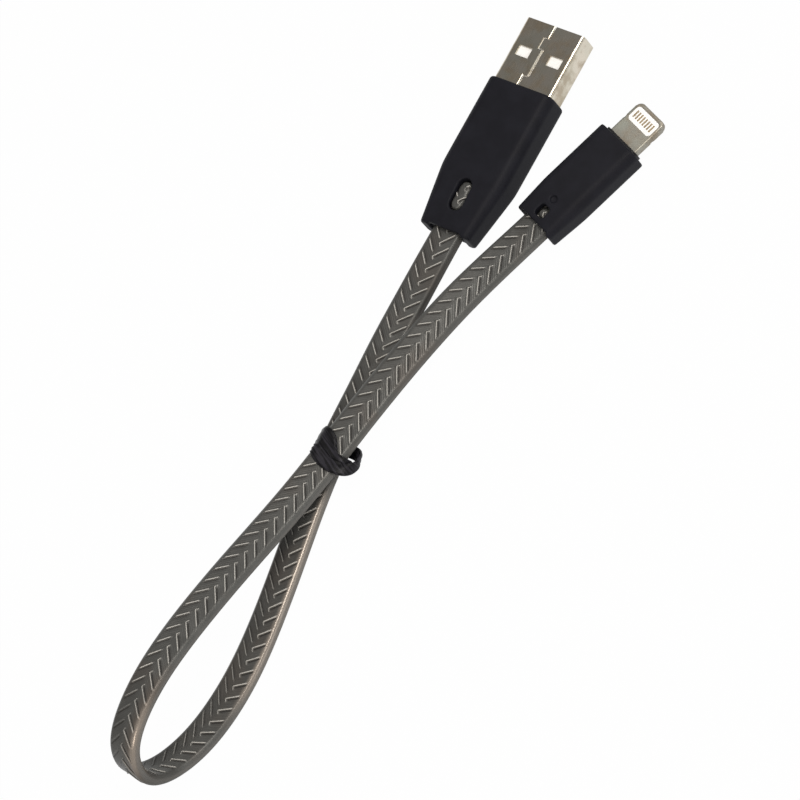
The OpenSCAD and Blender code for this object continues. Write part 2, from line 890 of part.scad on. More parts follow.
tie_turns = 2;
tie_x = -53.2;
// Where the two layers pass under the tie, and how far apart the route's points lie there
low_layer = 6;
high_layer = 23;
layer_step = 8.2;
// Share of the ribbon's width that is flat
tie_flat = 0.8;

// A turn passes six corners: two on the lower layer's far edge, three round the upper layer, one below
tie_corners = 6;
far_corners = [true, true, true, false, false, false];
upper_corners = [false, false, true, true, true, false];
top_corners = [false, true, true, true, false, false];
// How far the outer turn stands off, swings back and opens out at each corner, as shares of the most
off_shares = [0, 0, 0, 0.6, 1, 0.6];
swing_shares = [0, 0, 0, 0, 0.2, 1];
open_shares = [0, 0, 0, 0, 0.6, 0.8];

// Middle of the strap's corner that the tie bends round, at the tie's own place along the strap
function tie_corner(turn, k) =
    let (
        x = far_corners[k]
            ? tie_x - turn * tie_pitch
            : tie_x - tie_slant - turn * tie_bunch_pitch + turn * swing_shares[k] * tie_swing,
        u = upper_corners[k]
            ? high_layer + (x - route[high_layer].x) / layer_step
            : low_layer + (route[low_layer].x - x) / layer_step,
        frame = strap_frame(u),
        up = frame[3].z > 0 ? 1 : -1,
        middle = frame[0]
            + (far_corners[k] ? -1 : 1) * (strap_w / 2 - strap_r) * frame[2]
            + (top_corners[k] ? 1 : -1) * up * (strap_t / 2 - strap_r) * frame[3]
    )
    [x, middle.y - turn * off_shares[k] * tie_bulge, middle.z];

tie_stations = [for (turn = [0:tie_turns - 1], k = [0:tie_corners - 1]) tie_corner(turn, k)];
tie_widths = [
    for (turn = [0:tie_turns - 1], k = [0:tie_corners - 1])
        far_corners[k] ? tie_w : tie_bunch_w + turn * open_shares[k] * (tie_w - tie_bunch_w)
];

// Outward direction of the straight run between one corner and the next, seen along the strap.
// The ribbon starts and ends below the strap.
function run_normal(i) =
    i < 0 || i > len(tie_stations) - 2
        ? [0, 0, -1]
        : let (run = tie_stations[i + 1] - tie_stations[i]) unit([0, run.z, -run.y]);

// A ring of the ribbon: six points round a place, flat against an outward direction
function tie_ring(middle, outward, w) =
    let (along = [1, 0, 0])
    [
        for (p = [[1, 0], [tie_flat, 1], [-tie_flat, 1], [-1, 0], [-tie_flat, -1], [tie_flat, -1]])
            middle + p[0] * w / 2 * along + p[1] * tie_t / 2 * outward
    ];

// Three rings round each corner and one in the middle of each straight run
tie_rings = [
    for (i = [0:len(tie_stations) - 1])
        let (
            reach = strap_r + tie_gap + tie_t / 2,
            before = run_normal(i - 1),
            after = run_normal(i),
            w = tie_widths[i],
            rounding = [
                for (outward = [before, unit(before + after), after])
                    tie_ring(tie_stations[i] + reach * outward, outward, w)
            ],
            next = min(i + 1, len(tie_stations) - 1),
            half_way = (tie_stations[i] + tie_stations[next]) / 2 + reach * after,
            run = [tie_ring(half_way, after, (w + tie_widths[next]) / 2)]
        )
        for (ring = next > i ? concat(rounding, run) : rounding) ring
];

module cable_tie() {
    color([0.08, 0.08, 0.09])
        ring_tube(tie_rings);
}

// Least distance between the points of the tie's two turns
half_turn = floor(len(tie_rings) / tie_turns / 2);
tie_least_gap = min([
    for (i = [0:len(tie_rings) - 1], j = [i + half_turn:1:len(tie_rings) - 1])
        for (p = tie_rings[i], q = tie_rings[j]) norm(p - q)
]);

echo(strap_length = strap_length, tie_least_gap = tie_least_gap);

host_shell();
host_insulator();
host_contacts();
host_wire_ends();
host_solder();
host_inner_mould();
host_overmould();
tab_frame();
tab_insulator();
tab_contacts_top();
tab_contacts_bottom();
circuit_board();
control_chip();
device_shield();
device_wire_ends();
device_solder();
device_inner_mould();
device_overmould();
strap_jacket();
power_core();
ground_core();
data_core_plus();
data_core_minus();
cable_tie();
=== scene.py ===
"""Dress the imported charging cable: two plugs, a herringbone strap and the tie round its fold."""

import logging
import math
from dataclasses import dataclass, field
from enum import Enum
from types import SimpleNamespace
from typing import Any, Callable, Optional, Sequence, Union

import bmesh
import bpy
import numpy as np
from mathutils import Matrix, Vector


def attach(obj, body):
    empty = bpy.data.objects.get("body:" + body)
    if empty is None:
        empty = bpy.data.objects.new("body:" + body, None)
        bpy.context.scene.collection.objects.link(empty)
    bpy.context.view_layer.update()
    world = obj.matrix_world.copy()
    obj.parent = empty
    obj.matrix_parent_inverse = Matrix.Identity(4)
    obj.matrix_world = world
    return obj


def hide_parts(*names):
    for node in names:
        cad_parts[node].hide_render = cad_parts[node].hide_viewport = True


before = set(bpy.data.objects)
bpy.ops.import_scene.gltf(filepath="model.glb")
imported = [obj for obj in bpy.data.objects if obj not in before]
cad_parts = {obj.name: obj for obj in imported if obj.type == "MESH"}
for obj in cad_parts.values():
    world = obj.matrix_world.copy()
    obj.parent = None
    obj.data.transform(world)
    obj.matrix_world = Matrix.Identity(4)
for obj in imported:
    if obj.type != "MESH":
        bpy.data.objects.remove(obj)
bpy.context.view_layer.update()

log = logging.getLogger("charging_cable")

MM = 0.001
UM = 0.000001
BODY = "root"
PAST_FACE = 1.0 * MM
SAME_PLACE = 2 * UM
SAME_PLANE = math.radians(0.4)
SHARP_EDGE = math.radians(40)
SHADED_EDGE = math.radians(30)
Colour = tuple[float, float, float]
Place = tuple[float, float, float]
Span = tuple[float, float]
Stretch = tuple[float, float, float, float]
Frames = tuple[np.ndarray, np.ndarray, np.ndarray, np.ndarray]


class Emboss(str, Enum):
    """Names of the strap's own attributes."""

    ALONG = "along"
    ACROSS = "across"
    RELIEF = "relief"
    SIDE = "side"
    HEIGHT = "emboss"


class Value:
    """A node socket that takes part in sums; each sum adds a Math node to its graph."""

    def __init__(self, graph: "Graph", socket: bpy.types.NodeSocket) -> None:
        """Keep the socket and the graph that it belongs to."""
        self.graph = graph
        self.socket = socket

    def __add__(self, other: "Number") -> "Value":
        """Sum of two values."""
        return self.graph.math("ADD", self, other)

    __radd__ = __add__

    def __sub__(self, other: "Number") -> "Value":
        """This value less another."""
        return self.graph.math("SUBTRACT", self, other)

    def __rsub__(self, other: "Number") -> "Value":
        """Another value less this one."""
        return self.graph.math("SUBTRACT", other, self)

    def __mul__(self, other: "Number") -> "Value":
        """Product of two values."""
        return self.graph.math("MULTIPLY", self, other)

    __rmul__ = __mul__

    def __truediv__(self, other: "Number") -> "Value":
        """This value over another."""
        return self.graph.math("DIVIDE", self, other)

    def __abs__(self) -> "Value":
        """Size of the value without its sign."""
        return self.graph.math("ABSOLUTE", self)

    def at_least(self, other: "Number") -> "Value":
        """The larger of two values."""
        return self.graph.math("MAXIMUM", self, other)

    def at_most(self, other: "Number") -> "Value":
        """The smaller of two values."""
        return self.graph.math("MINIMUM", self, other)

    def sine(self) -> "Value":
        """Sine of the value."""
        return self.graph.math("SINE", self)

    def root(self) -> "Value":
        """Square root of the value."""
        return self.graph.math("SQRT", self)

    def wrapped(self, period: "Value") -> "Value":
        """The value brought into half a period either side of nothing."""
        return self.graph.math("WRAP", self, period / 2, period / -2)

    def step(self, low: "Number", high: "Number") -> "Value":
        """Rise smoothly from 0 at low to 1 at high."""
        node = self.graph.add(
            "ShaderNodeMapRange",
            {"interpolation_type": "SMOOTHSTEP"},
            {0: self, 1: low, 2: high, 3: 0.0, 4: 1.0},
        )
        return self.graph.out(node)


Number = Union[Value, float]


class Graph:
    """A node tree that is written as Python expressions."""

    def __init__(self, tree: bpy.types.NodeTree) -> None:
        """Keep the tree."""
        self.tree = tree

    def add(
        self,
        kind: str,
        settings: Optional[dict[str, Any]] = None,
        inputs: Optional[dict[Union[str, int], Any]] = None,
    ) -> bpy.types.Node:
        """Make one node.

        Args:
            kind: The node's type.
            settings: Its own settings, which are set first.
            inputs: Values or links for its sockets, by name or number.

        Returns:
            The node.
        """
        node = self.tree.nodes.new(kind)
        for name, value in (settings or {}).items():
            setattr(node, name, value)
        for key, value in (inputs or {}).items():
            socket = node.inputs[key]
            if isinstance(value, Value):
                self.tree.links.new(value.socket, socket)
            else:
                socket.default_value = value
        return node

    def out(self, node: bpy.types.Node, key: Union[str, int] = 0) -> Value:
        """Wrap one of a node's outputs."""
        return Value(self, node.outputs[key])

    def math(self, operation: str, *values: Number) -> Value:
        """Add a Math node for an operation on values."""
        node = self.add("ShaderNodeMath", {"operation": operation}, dict(enumerate(values)))
        return self.out(node)

    def mix(self, share: Number, low: Any, high: Any) -> Value:
        """Mix two colours by a share of the second."""
        low, high = (c if isinstance(c, Value) else (*c, 1.0) for c in (low, high))
        node = self.add("ShaderNodeMix", {"data_type": "RGBA"}, {0: share, 6: low, 7: high})
        return self.out(node, 2)

    def noise(self, place: Value, scale: float, detail: float = 3.0, roughness: float = 0.55) -> Value:
        """Even noise between 0 and 1, with features of about 1 / scale."""
        node = self.add(
            "ShaderNodeTexNoise",
            {"noise_dimensions": "3D"},
            {"Vector": place, "Scale": scale, "Detail": detail, "Roughness": roughness},
        )
        return self.out(node)

    def place(self) -> Value:
        """Object coordinates."""
        return self.out(self.add("ShaderNodeTexCoord"), "Object")

    def stretched(self, scale: Place, turn: float) -> Value:
        """Object coordinates, turned about the upright and then scaled along each axis."""
        sizes = tuple(1.0 / s for s in scale)
        node = self.add(
            "ShaderNodeMapping",
            {"vector_type": "TEXTURE"},
            {"Vector": self.place(), "Rotation": (0.0, 0.0, turn), "Scale": sizes},
        )
        return self.out(node)

    def attribute(self, name: Emboss) -> Value:
        """One of a piece's own numbers."""
        return self.out(self.add("ShaderNodeAttribute", {"attribute_name": name.value}), "Fac")


@dataclass
class Surface:
    """What a finish feeds to the shader, as values that change over the piece."""

    colour: Value
    roughness: Value
    height: Value
    metallic: Optional[Value] = None


@dataclass(frozen=True)
class Finish:
    """A finish: its colour and gloss, and the fine unevenness that breaks them up."""

    name: str
    colour: Colour
    roughness: float
    metallic: float = 0.0
    mottle: float = 0.12
    mottle_scale: float = 600.0
    mottle_span: Span = (0.3, 0.7)
    swing: float = 0.08
    grain_scale: float = 4000.0
    grain_m: float = 4 * UM
    specular: float = 0.5

    def mottled(self, graph: Graph, cloud: Value) -> Value:
        """The finish's colour, deeper and paler by a cloud."""
        pale = tuple(min(1.0, c * (1.0 + self.mottle)) for c in self.colour)
        deep = tuple(c * (1.0 - self.mottle) for c in self.colour)
        return graph.mix(cloud.step(*self.mottle_span), deep, pale)

    def surface(self, graph: Graph) -> Surface:
        """Mottled colour, uneven gloss and a fine grain."""
        place = graph.place()
        cloud = graph.noise(place, self.mottle_scale)
        return Surface(
            colour=self.mottled(graph, cloud),
            roughness=self.roughness + (cloud - 0.5) * self.swing,
            height=graph.noise(place, self.grain_scale, detail=2.0),
        )

    def material(self) -> bpy.types.Material:
        """Build the finish as a material.

        Returns:
            The material.
        """
        material = bpy.data.materials.new(self.name)
        material.use_nodes = True
        graph = Graph(material.node_tree)
        shader = material.node_tree.nodes["Principled BSDF"]
        look = self.surface(graph)
        relief = {"Strength": 1.0, "Distance": self.grain_m, "Height": look.height}
        links = {
            "Base Color": look.colour,
            "Roughness": look.roughness,
            "Normal": graph.out(graph.add("ShaderNodeBump", None, relief), "Normal"),
        }
        shader.inputs["Metallic"].default_value = self.metallic
        shader.inputs["Specular IOR Level"].default_value = self.specular
        if look.metallic is not None:
            links["Metallic"] = look.metallic
        for name, value in links.items():
            material.node_tree.links.new(value.socket, shader.inputs[name])
        return material


@dataclass(frozen=True)
class SheetMetal(Finish):
    """Rolled plate with a fine lengthwise grain and faint handling marks."""

    turn: float = 0.0
    drawn: Place = (900.0, 9000.0, 9000.0)
    smudge: Colour = (0.36, 0.29, 0.20)
    smudge_share: float = 0.7
    smudge_span: Span = (0.38, 0.66)
    smudge_rough: float = 0.15
    tint: Colour = (0.62, 0.59, 0.49)
    tint_scale: float = 0.4
    tint_span: Span = (0.4, 0.65)

    def surface(self, graph: Graph) -> Surface:
        """Long grain in the gloss, soft smudges in the colour."""
        grain = graph.noise(graph.stretched(self.drawn, self.turn), 1.0, detail=2.0)
        place = graph.place()
        cloud = graph.noise(place, self.mottle_scale, detail=4.0)
        wide = graph.noise(place, self.mottle_scale * self.tint_scale, detail=2.0)
        marks = cloud.step(*self.smudge_span) * self.smudge_share
        plate = graph.mix(wide.step(*self.tint_span), self.colour, self.tint)
        return Surface(
            colour=graph.mix(marks, plate, self.smudge),
            roughness=self.roughness + (grain - 0.5) * self.swing + marks * self.smudge_rough,
            height=grain,
        )


@dataclass(frozen=True)
class Ribbon(Finish):
    """Soft ribbon whose wrinkles show as lengthwise streaks of painted sheen."""

    turn: float = 0.0
    # Painted sheen: a pale tone for the light along the ribbon's wrinkles.
    sheen_streak: Colour = (0.024, 0.023, 0.029)
    sheen_streak_span: Span = (0.44, 0.62)
    streaks_per_m: Place = (200.0, 2600.0, 200.0)

    def surface(self, graph: Graph) -> Surface:
        """Painted sheen: pale streaks along the ribbon, over its mottle and grain."""
        look = super().surface(graph)
        drawn = graph.noise(graph.stretched(self.streaks_per_m, self.turn), 1.0, detail=2.0)
        look.colour = graph.mix(drawn.step(*self.sheen_streak_span), look.colour, self.sheen_streak)
        return look


@dataclass(frozen=True)
class StrapSkin(Finish):
    """Satin gunmetal skin: painted highlights on its ribs, painted shade in its hollows, and dull on its
    sides.

    A run says where along the pattern a tint starts, is full, starts to fade and ends. Across the
    strap the near side is positive. How far the skin turns to a side is 0 on a face and 1 on a side.
    """

    # Painted highlight: a bright colour on the ribs' crests that stands in for their glints.
    ridge_highlight: Colour = (0.43, 0.42, 0.39)
    # A dark tone for painted shade: in the hollows, on the far half, beside the plug and at the loop's
    # turn. It also colours the fine lines beside the ribs.
    shaded: Colour = (0.047, 0.045, 0.042)
    sides: Colour = (0.126, 0.122, 0.114)
    warm: Colour = (0.112, 0.099, 0.087)
    # Brown tint for a painted warm reflection on the near half at the loop's left end.
    copper: Colour = (0.135, 0.110, 0.090)
    # Cream of a worn edge that also stands in for its highlight: partly wear, partly painted highlight.
    wear_and_highlight: Colour = (0.335, 0.293, 0.252)
    copper_run: Stretch = (104 * MM, 112 * MM, 124 * MM, 134 * MM)
    # Two stretches of the near border, along the loop's lower arm and round its bend, take this partly
    # worn, partly painted-highlight tone.
    wear_and_highlight_run: Stretch = (43 * MM, 52 * MM, 80 * MM, 91 * MM)
    bend_wear_and_highlight_run: Stretch = (110 * MM, 116 * MM, 120 * MM, 127 * MM)
    # Painted shadow of the host plug on the strap beside it, and painted shade where the loop turns at its
    # lower left end.
    plug_run: Stretch = (-4 * MM, -1 * MM, 11 * MM, 15 * MM)
    turn_shade_run: Stretch = (99 * MM, 104 * MM, 108 * MM, 112 * MM)
    # Painted shade on the ribs: their painted highlight is dimmed on the far half along the loop, and
    # faded on both halves at its left end.
    dim_run: Stretch = (45 * MM, 53 * MM, 122 * MM, 130 * MM)
    faint_run: Stretch = (100 * MM, 108 * MM, 122 * MM, 130 * MM)
    middle: Span = (-0.4 * MM, 0.4 * MM)
    near_half: Span = (0.0, 2.4 * MM)
    near_border: Span = (1.5 * MM, 2.4 * MM)
    side_turn: Span = (0.75, 0.95)
    shoulder_from: Span = (0.1, 0.35)
    shoulder_to: Span = (0.8, 0.95)
    wear_and_highlight_to: Span = (0.72, 1.0)
    shade_from: Span = (0.4, 0.7)
    ridge_span: Span = (0.3, 0.8)
    hollow_span: Span = (0.05, 0.6)
    patch_span: Span = (0.5, 0.7)
    patch_scale: float = 0.35
    patch_share: float = 0.6
    line_share: float = 0.24
    # Share of painted shade on the face's far half.
    far_shade_share: float = 0.24
    copper_share: float = 0.65
    wear_and_highlight_share: float = 0.8
    wear_and_highlight_side_share: float = 0.2
    turn_shade_share: float = 0.55
    turn_side_shade_share: float = 0.3
    plug_share: float = 0.7
    dim_share: float = 0.55
    faint_share: float = 0.4
    shoulder_rough: float = 0.08
    wear_and_highlight_gloss: float = 0.2
    side_rough: float = 0.15
    side_dull: float = 0.7
    grain_height: float = 0.4
    line_height: float = 0.5
    rib_pitch: float = 2.48 * MM
    lines_per_rib: float = 5.0

    def surface(self, graph: Graph) -> Surface:
        """Colour by the emboss's height, as painted highlights on the ribs and painted shade in their
        hollows, with fine lines that run beside the ribs.
        """
        place = graph.place()
        cloud = graph.noise(place, self.mottle_scale)
        patch = graph.noise(place, self.mottle_scale * self.patch_scale, detail=2.0)
        grain = graph.noise(place, self.grain_scale, detail=2.0)
        height = graph.attribute(Emboss.HEIGHT)
        along = graph.attribute(Emboss.ALONG)
        across = graph.attribute(Emboss.ACROSS)
        relief = graph.attribute(Emboss.RELIEF)
        turned = graph.attribute(Emboss.SIDE)

        def within(run: Stretch) -> Value:
            """1 on a stretch of the strap, fading to 0 past both its ends."""
            rise, full, fall, gone = run
            return along.step(rise, full) * (1.0 - along.step(fall, gone))

        side = turned.step(*self.side_turn)
        shoulder = turned.step(*self.shoulder_from) * (1.0 - turned.step(*self.shoulder_to))
        ridge = height.step(*self.ridge_span)
        lines = ((along + abs(across)) * (math.tau * self.lines_per_rib / self.rib_pitch)).sine()
        far_half = 1.0 - across.step(*self.middle)
        border = across.step(*self.near_border)
        # Partly wear and partly painted highlight, on two stretches of the near border.
        wear_and_highlight_mask = within(self.wear_and_highlight_run) + within(self.bend_wear_and_highlight_run)
        # Where the loop turns at its lower left end, for painted shade.
        turning = within(self.turn_shade_run)
        # Painted shadow beside the host plug.
        plug_shadow = within(self.plug_run) * self.plug_share
        # Painted warm reflection on the near half, at the loop's left end.
        warm_reflection_mask = within(self.copper_run) * across.step(*self.near_half)
        wear_and_highlight_edge = wear_and_highlight_mask * border * (1.0 - turned.step(*self.wear_and_highlight_to))
        # Painted shade at the loop's turn and painted shadow beside the plug, on the near border.
        painted_shade = turning * border * self.turn_shade_share + plug_shadow * turned.step(*self.shade_from)
        # How far the ribs' painted highlight is taken back, as painted shade.
        dim = within(self.dim_run) * far_half * self.dim_share + within(self.faint_run) * self.faint_share
        tints = (
            (patch.step(*self.patch_span) * self.patch_share, self.warm),
            ((lines * -0.5 + 0.5) * relief * self.line_share, self.shaded),
            # Painted shade: the far half of the ribbed face is darker.
            (far_half * relief * self.far_shade_share, self.shaded),
            # Painted warm reflection.
            (warm_reflection_mask * self.copper_share, self.copper),
            # Worn edge that is partly a painted highlight.
            (wear_and_highlight_edge * self.wear_and_highlight_share, self.wear_and_highlight),
            # Painted shade and shadow.
            (painted_shade, self.shaded),
            # Painted shade in the hollows beside the ribs.
            ((0.0 - height).step(*self.hollow_span), self.shaded),
            # Painted highlight on the ribs' crests, taken back where the ribs are painted dim.
            (ridge * (1.0 - dim), self.ridge_highlight),
        )
        face = self.mottled(graph, cloud)
        for share, tint in tints:
            face = graph.mix(share, face, tint)
        # Sides: the same partly worn, partly painted-highlight tone on those stretches.
        flank = graph.mix(wear_and_highlight_mask * self.wear_and_highlight_side_share, self.sides, self.wear_and_highlight)
        # Painted shadow beside the plug and painted shade at the loop's turn, on the sides.
        flank = graph.mix(plug_shadow + turning * self.turn_side_shade_share, flank, self.shaded)
        gloss = shoulder * (self.shoulder_rough - wear_and_highlight_mask * self.wear_and_highlight_gloss) + side * self.side_rough
        return Surface(
            colour=graph.mix(side, face, flank),
            roughness=self.roughness + (cloud - 0.5) * self.swing + gloss,
            height=grain * self.grain_height + lines * relief * self.line_height,
            metallic=(1.0 - side * self.side_dull) * (1.0 - ridge) * self.metallic,
        )


@dataclass(frozen=True)
class Palette:
    """Every finish of the cable."""

    shell: Finish = SheetMetal(
        "plated_shell", (0.68, 0.62, 0.52), 0.22, 1.0, swing=0.14, mottle_scale=420.0, grain_m=1.2 * UM
    )
    tab: Finish = SheetMetal(
        "satin_tab", (0.345, 0.335, 0.292), 0.42, 0.75, swing=0.12, mottle_scale=420.0, grain_m=1.2 * UM,
        turn=math.radians(-20.6), smudge=(0.27, 0.225, 0.17), smudge_share=0.8, tint=(0.375, 0.39, 0.34),
    )
    shield: Finish = SheetMetal("shield_can", (0.62, 0.62, 0.62), 0.32, 1.0, grain_m=1.2 * UM)
    gold: Finish = Finish("gold_plate", (0.43, 0.335, 0.205), 0.35, 0.6, mottle=0.08)
    copper: Finish = Finish("bare_copper", (0.70, 0.38, 0.22), 0.35, 1.0)
    solder: Finish = Finish("solder_joint", (0.66, 0.66, 0.67), 0.38, 1.0)
    white: Finish = Finish("insulator_white", (0.93, 0.93, 0.91), 0.35, mottle=0.02)
    ivory: Finish = Finish("inner_ivory", (0.78, 0.74, 0.64), 0.5, mottle=0.05)
    rubber: Finish = Finish(
        "overmould_rubber", (0.0098, 0.0100, 0.0140), 0.56, mottle=0.14, mottle_scale=260.0,
        swing=0.10, grain_scale=5000.0, grain_m=6 * UM, specular=0.13,
    )
    collar: Finish = Finish("collar_black", (0.010, 0.010, 0.012), 0.5, mottle=0.15, specular=0.3)
    board: Finish = Finish("board_mask", (0.03, 0.18, 0.08), 0.35, mottle=0.1)
    chip: Finish = Finish("chip_case", (0.02, 0.02, 0.02), 0.55)
    strap: Finish = StrapSkin(
        "strap_gunmetal", (0.102, 0.103, 0.098), 0.40, 0.4, mottle=0.10, mottle_scale=350.0,
        swing=0.08, grain_scale=6000.0, grain_m=8 * UM, specular=0.3,
    )
    red: Finish = Finish("core_red", (0.50, 0.03, 0.03), 0.45)
    black: Finish = Finish("core_black", (0.02, 0.02, 0.02), 0.45)
    green: Finish = Finish("core_green", (0.03, 0.30, 0.08), 0.45)
    pale: Finish = Finish("core_white", (0.85, 0.85, 0.83), 0.45, mottle=0.03)
    tie: Finish = Ribbon(
        "tie_black", (0.006, 0.006, 0.007), 0.42, mottle=0.2, mottle_scale=800.0, grain_m=10 * UM,
        grain_scale=1500.0, specular=0.16, turn=math.radians(63.6),
    )


class Maker:
    """Makes meshes and turns modified objects into plain ones."""

    @staticmethod
    def linked(name: str, data: bpy.types.ID) -> bpy.types.Object:
        """Put a mesh, lamp or camera into the scene as an object."""
        made = bpy.data.objects.new(name, data)
        bpy.context.scene.collection.objects.link(made)
        return made

    @staticmethod
    def piece(name: str, points: np.ndarray, faces: Sequence[Sequence[int]]) -> bpy.types.Object:
        """Make a smooth-shaded object.

        Args:
            name: The piece's name.
            points: Its points, in metres.
            faces: The numbers of the points round each face.

        Returns:
            The object, linked to the scene.
        """
        mesh = bpy.data.meshes.new(name)
        mesh.from_pydata([tuple(p) for p in points], [], [tuple(f) for f in faces])
        mesh.validate()
        mesh.shade_smooth()
        return Maker.linked(name, mesh)

    @staticmethod
    def loft(name: str, rings: np.ndarray, round_again: bool = False) -> bpy.types.Object:
        """Make a closed body from rings of as many points.

        Args:
            name: The piece's name.
            rings: Points as an array of rings, points and coordinates.
            round_again: Whether the last ring joins the first; if not, both ends are capped.

        Returns:
            The body, with its faces outwards.
        """
        count, sides = rings.shape[:2]
        loops = np.arange(count * sides).reshape(count, sides).tolist()
        faces = []
        for here, there in zip(loops, loops[1:] + loops[:1] if round_again else loops[1:]):
            faces.extend(zip(here, here[1:] + here[:1], there[1:] + there[:1], there))
        if not round_again:
            faces.extend((loops[0], loops[-1]))
        made = Maker.piece(name, rings.reshape(-1, 3), faces)
        shape = bmesh.new()
        shape.from_mesh(made.data)
        bmesh.ops.recalc_face_normals(shape, faces=shape.faces)
        shape.to_mesh(made.data)
        shape.free()
        return made

    @staticmethod
    def baked(piece: bpy.types.Object) -> None:
        """Replace a piece's mesh by what its modifiers make of it, and drop them."""
        graph = bpy.context.evaluated_depsgraph_get()
        mesh = bpy.data.meshes.new_from_object(piece.evaluated_get(graph))
        piece.modifiers.clear()
        old = piece.data
        piece.data = mesh
        bpy.data.meshes.remove(old)
        mesh.name = piece.name

    @staticmethod
    def cut(piece: bpy.types.Object, cutter: bpy.types.Object) -> None:
        """Add an exact cut to a piece."""
        change = piece.modifiers.new("cut", "BOOLEAN")
        change.operation = "DIFFERENCE"
        change.solver = "EXACT"
        change.object = cutter

    @staticmethod
    def dress(piece: bpy.types.Object, material: bpy.types.Material) -> None:
        """Give a piece one material."""
        piece.data.materials.clear()
        piece.data.materials.append(material)


def rounded_outline(width: float, height: float, radius: float, arc: int = 8) -> np.ndarray:
    """Points round a rectangle with round corners.

    Args:
        width: Size along the first axis.
        height: Size along the second axis.
        radius: Corner radius.
        arc: Steps in each corner.

    Returns:
        Pairs of coordinates, turning from the first axis to the second.
    """
    points = []
    for corner in range(4):
        x = (1 if corner in (0, 3) else -1) * (width / 2 - radius)
        y = (1 if corner < 2 else -1) * (height / 2 - radius)
        for k in range(arc + 1):
            angle = math.radians(90 * corner + 90 * k / arc)
            points.append((x + radius * math.cos(angle), y + radius * math.sin(angle)))
    return np.array(points)


def bar(name: str, span: Span, size: Span, radius: float) -> bpy.types.Object:
    """Make a rounded bar along the first axis, for cutting.

    Args:
        name: The helper's name.
        span: Where it starts and ends.
        size: Its width and height.
        radius: Corner radius.

    Returns:
        The bar.
    """
    outline = rounded_outline(*size, radius)
    return Maker.loft(name, np.array([[(x, y, z) for y, z in outline] for x in span]))


def prism(name: str, middle: float, size: Span, radius: float, span: Span) -> bpy.types.Object:
    """Make an upright prism with round corners, on the first axis, for cutting.

    Args:
        name: The helper's name.
        middle: Place of its middle.
        size: Its length along the axis and its width.
        radius: Corner radius. A hair is taken off, so that full rounds don't touch.
        span: Its lower and upper end.

    Returns:
        The prism.
    """
    just_under = 0.999
    outline = rounded_outline(*size, radius * just_under, arc=12)
    return Maker.loft(name, np.array([[(middle + x, y, z) for x, y in outline] for z in span]))


@dataclass
class Overmould:
    """A moulded plug body: a straight front, a tapered tail, a scooped rear and a window."""

    name: str
    length: float
    width: float
    thickness: float
    edge: float
    tail: float
    tail_width: float
    tail_thickness: float
    tail_edge: float = 1.2 * MM
    front_soft: float = 0.45 * MM
    rear_soft: float = 0.3 * MM
    least_edge: float = 0.1 * MM
    blend: float = 2.0 * MM
    blend_share: float = 0.1
    scoop: float = 0.4 * MM
    mouth: Span = (6.85 * MM, 2.7 * MM)
    mouth_depth: float = 0.95 * MM
    slot: Span = (6.35 * MM, 2.2 * MM)
    slot_past: float = 4 * MM
    cut_edge: float = 0.3 * MM
    voxel: float = 0.16 * MM
    smooth_share: float = 0.5
    smooth_times: int = 5
    end_steps: int = 6
    body_steps: int = 40

    def share(self, x: float) -> float:
        """How far the body has opened from its tail's end to its full size, softened at the bend."""
        gap = 1.0 - x / self.tail
        k = self.blend / self.tail
        return 1.0 - 0.5 * (gap + math.sqrt(gap * gap + k * k * self.blend_share))

    def rings(self) -> np.ndarray:
        """Sections from the tail's end to the front, with softened ends.

        Returns:
            Points as an array of sections, points and coordinates.
        """
        turns = [math.pi / 2 * k / self.end_steps for k in range(self.end_steps + 1)]
        straight = self.length - self.rear_soft - self.front_soft
        rear, front = self.rear_soft, self.front_soft
        places = [(rear * (1 - math.cos(a)), rear * (1 - math.sin(a))) for a in turns]
        places += [(rear + straight * k / self.body_steps, 0.0) for k in range(1, self.body_steps)]
        places += [(self.length - front * (1 - math.sin(a)), front * (1 - math.cos(a))) for a in turns]
        rings = []
        for x, inset in places:
            opened = self.share(x)
            width = self.tail_width + (self.width - self.tail_width) * opened
            height = self.tail_thickness + (self.thickness - self.tail_thickness) * opened
            radius = self.tail_edge + (self.edge - self.tail_edge) * opened
            radius = max(radius - inset, self.least_edge)
            outline = rounded_outline(width - 2 * inset, height - 2 * inset, radius)
            rings.append([(x, y, z) for y, z in outline])
        return np.array(rings)

    def build(
        self, cutters: Sequence[bpy.types.Object], place: Matrix, material: bpy.types.Material
    ) -> bpy.types.Object:
        """Cut, soften, place and dress the body.

        Args:
            cutters: Shapes to take away, in the body's own frame.
            place: Where the body goes.
            material: Its finish.

        Returns:
            The body, as one plain mesh.
        """
        body = Maker.loft(self.name, self.rings())
        across_top = (self.mouth[0], 3 * self.thickness)
        tools = [
            bar("slot", (-PAST_FACE, self.tail + self.slot_past), self.slot, self.cut_edge),
            bar("mouth", (-PAST_FACE, self.mouth_depth), self.mouth, self.cut_edge),
            bar("scoop", (-PAST_FACE, self.scoop), across_top, self.cut_edge),
            *cutters,
        ]
        for tool in tools:
            Maker.cut(body, tool)
        skin = body.modifiers.new("skin", "REMESH")
        skin.mode = "VOXEL"
        skin.voxel_size = self.voxel
        skin.use_smooth_shade = True
        soft = body.modifiers.new("soft", "SMOOTH")
        soft.factor = self.smooth_share
        soft.iterations = self.smooth_times
        Maker.baked(body)
        for tool in tools:
            bpy.data.meshes.remove(tool.data)
        body.data.transform(place)
        body.data.shade_smooth()
        Maker.dress(body, material)
        return body


